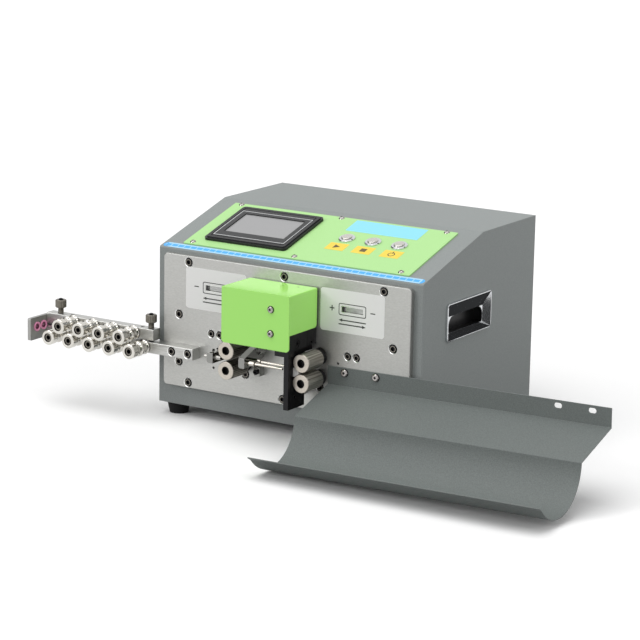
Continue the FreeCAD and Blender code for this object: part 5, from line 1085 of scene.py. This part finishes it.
flag("flag_right_low", (3.0, -0.6, 0.25), 3.4, 1.1, 90)
flag("flag_right_high", (3.0, -0.6, 1.75), 3.4, 1.0, 90)
flag("flag_front_left", (-2.2, -2.6, 0.75), 0.5, 1.2, 40)
flag("flag_left", (-2.4, -0.8, 1.6), 1.2, 1.0, 90)
flag("flag_overhead", (-0.5, -0.6, 2.6), 0.6, 1.4, 0, 90)
flag("flag_over_right", (1.5, 0.4, 2.2), 0.7, 0.7, 0, 90)
flag("flag_behind", (1.4, 2.6, 1.2), 1.6, 1.0, 0)
flag("flag_on_floor", (0.32, 0.30, 0.003), 0.32, 0.46, 0, 90)
flag("flag_on_floor_right", (0.83, 0.10, 0.003), 0.26, 0.36, 0, 90)
flag("flag_left_low", (-2.4, 0.3, 0.65), 2.0, 1.2, 90)

# %% [markdown]
# ## World and lamps
# A pale world fills the shadows. Light Path lets the camera, mirrors and glass see it as pure white while it
# lights the machine more gently. Lamps at the distance of the sun light the whole floor alike, so it has no
# dark end: a wide soft one above, one from the right and a weak one from the front left.

# %% Light the studio
FILL_STRENGTH = 0.5
WHITE = (1.0, 1.0, 1.0, 1.0)
world = bpy.data.worlds.new("studio")
bpy.context.scene.world = world
world.use_nodes = True
world.node_tree.nodes.clear()
ray = add_node(world, "ShaderNodeLightPath").outputs
direct = add_node(world, "ShaderNodeMath", {0: ray["Is Camera Ray"], 1: ray["Is Transmission Ray"]},
                  operation="MAXIMUM").outputs[0]
seen_ray = add_node(world, "ShaderNodeMath", {0: direct, 1: ray["Is Glossy Ray"]},
                    operation="MAXIMUM").outputs[0]
fill = add_node(world, "ShaderNodeBackground", {"Color": WHITE, "Strength": FILL_STRENGTH}).outputs[0]
seen = add_node(world, "ShaderNodeBackground", {"Color": WHITE, "Strength": 1.0}).outputs[0]
blend = add_node(world, "ShaderNodeMixShader", {0: seen_ray, 1: fill, 2: seen}).outputs[0]
add_node(world, "ShaderNodeOutputWorld", {"Surface": blend})


def far_lamp(name, from_direction, strength, softness_degrees):
    """A lamp as far as the sun, shining from a direction, with soft shadows."""
    light = bpy.data.lights.new(name, "SUN")
    light.energy = strength
    light.angle = math.radians(softness_degrees)
    lamp = bpy.data.objects.new(name, light)
    lamp.rotation_mode = "QUATERNION"
    lamp.rotation_quaternion = (-Vector(from_direction)).to_track_quat("-Z", "Y")
    bpy.context.scene.collection.objects.link(lamp)


far_lamp("overhead_lamp", (-0.15, -0.25, 1.0), 1.45, 60)
far_lamp("right_lamp", (1.0, -0.15, 0.5), 0.64, 40)
far_lamp("front_left_lamp", (-0.7, -1.0, 0.5), 0.72, 24)
print("world fill:", FILL_STRENGTH, "lamps:", len(bpy.data.lights))

# %% [markdown]
# ## Camera
# The photograph was taken from a long way off with a long lens, about 32 degrees round to the right and a
# little above. The camera is placed by those angles round a point in the housing, with its roll.

# %% Place the camera
FOCAL_PX = 2595.81
FRAME_PX = 640
AZIMUTH = math.radians(32.10)
ELEVATION = math.radians(13.06)
ROLL = math.radians(1.047)
DISTANCE_MM = 3406.07
AIM_MM = (200.0, 100.0, 120.0)
AIM_SIDE_MM = -10.67
AIM_UP_MM = -1.06

back = Vector((math.sin(AZIMUTH) * math.cos(ELEVATION), -math.cos(AZIMUTH) * math.cos(ELEVATION),
               math.sin(ELEVATION)))
level_right = Vector((math.cos(AZIMUTH), math.sin(AZIMUTH), 0))
level_up = back.cross(level_right)
right = math.cos(ROLL) * level_right + math.sin(ROLL) * level_up
up = -math.sin(ROLL) * level_right + math.cos(ROLL) * level_up
aim = spot(*AIM_MM) + (AIM_SIDE_MM * right + AIM_UP_MM * up) * MM
camera_data = bpy.data.cameras.new("camera")
camera_data.sensor_width = 36.0
camera_data.lens = FOCAL_PX / FRAME_PX * camera_data.sensor_width
camera_data.clip_end = 60.0
camera = bpy.data.objects.new("camera", camera_data)
looking = Matrix((right, up, back)).transposed().to_4x4()
camera.matrix_world = Matrix.Translation(aim + back * DISTANCE_MM * MM) @ looking
bpy.context.scene.collection.objects.link(camera)
bpy.context.scene.camera = camera
bpy.context.scene.view_settings.view_transform = "Standard"
print("lens in mm:", round(camera_data.lens, 1))

# %% [markdown]
# ## Bring the view layer up to date
# Last, the view layer is updated. The dressed machine may not outgrow its solids.

# %% Update the view layer
bpy.context.view_layer.update()
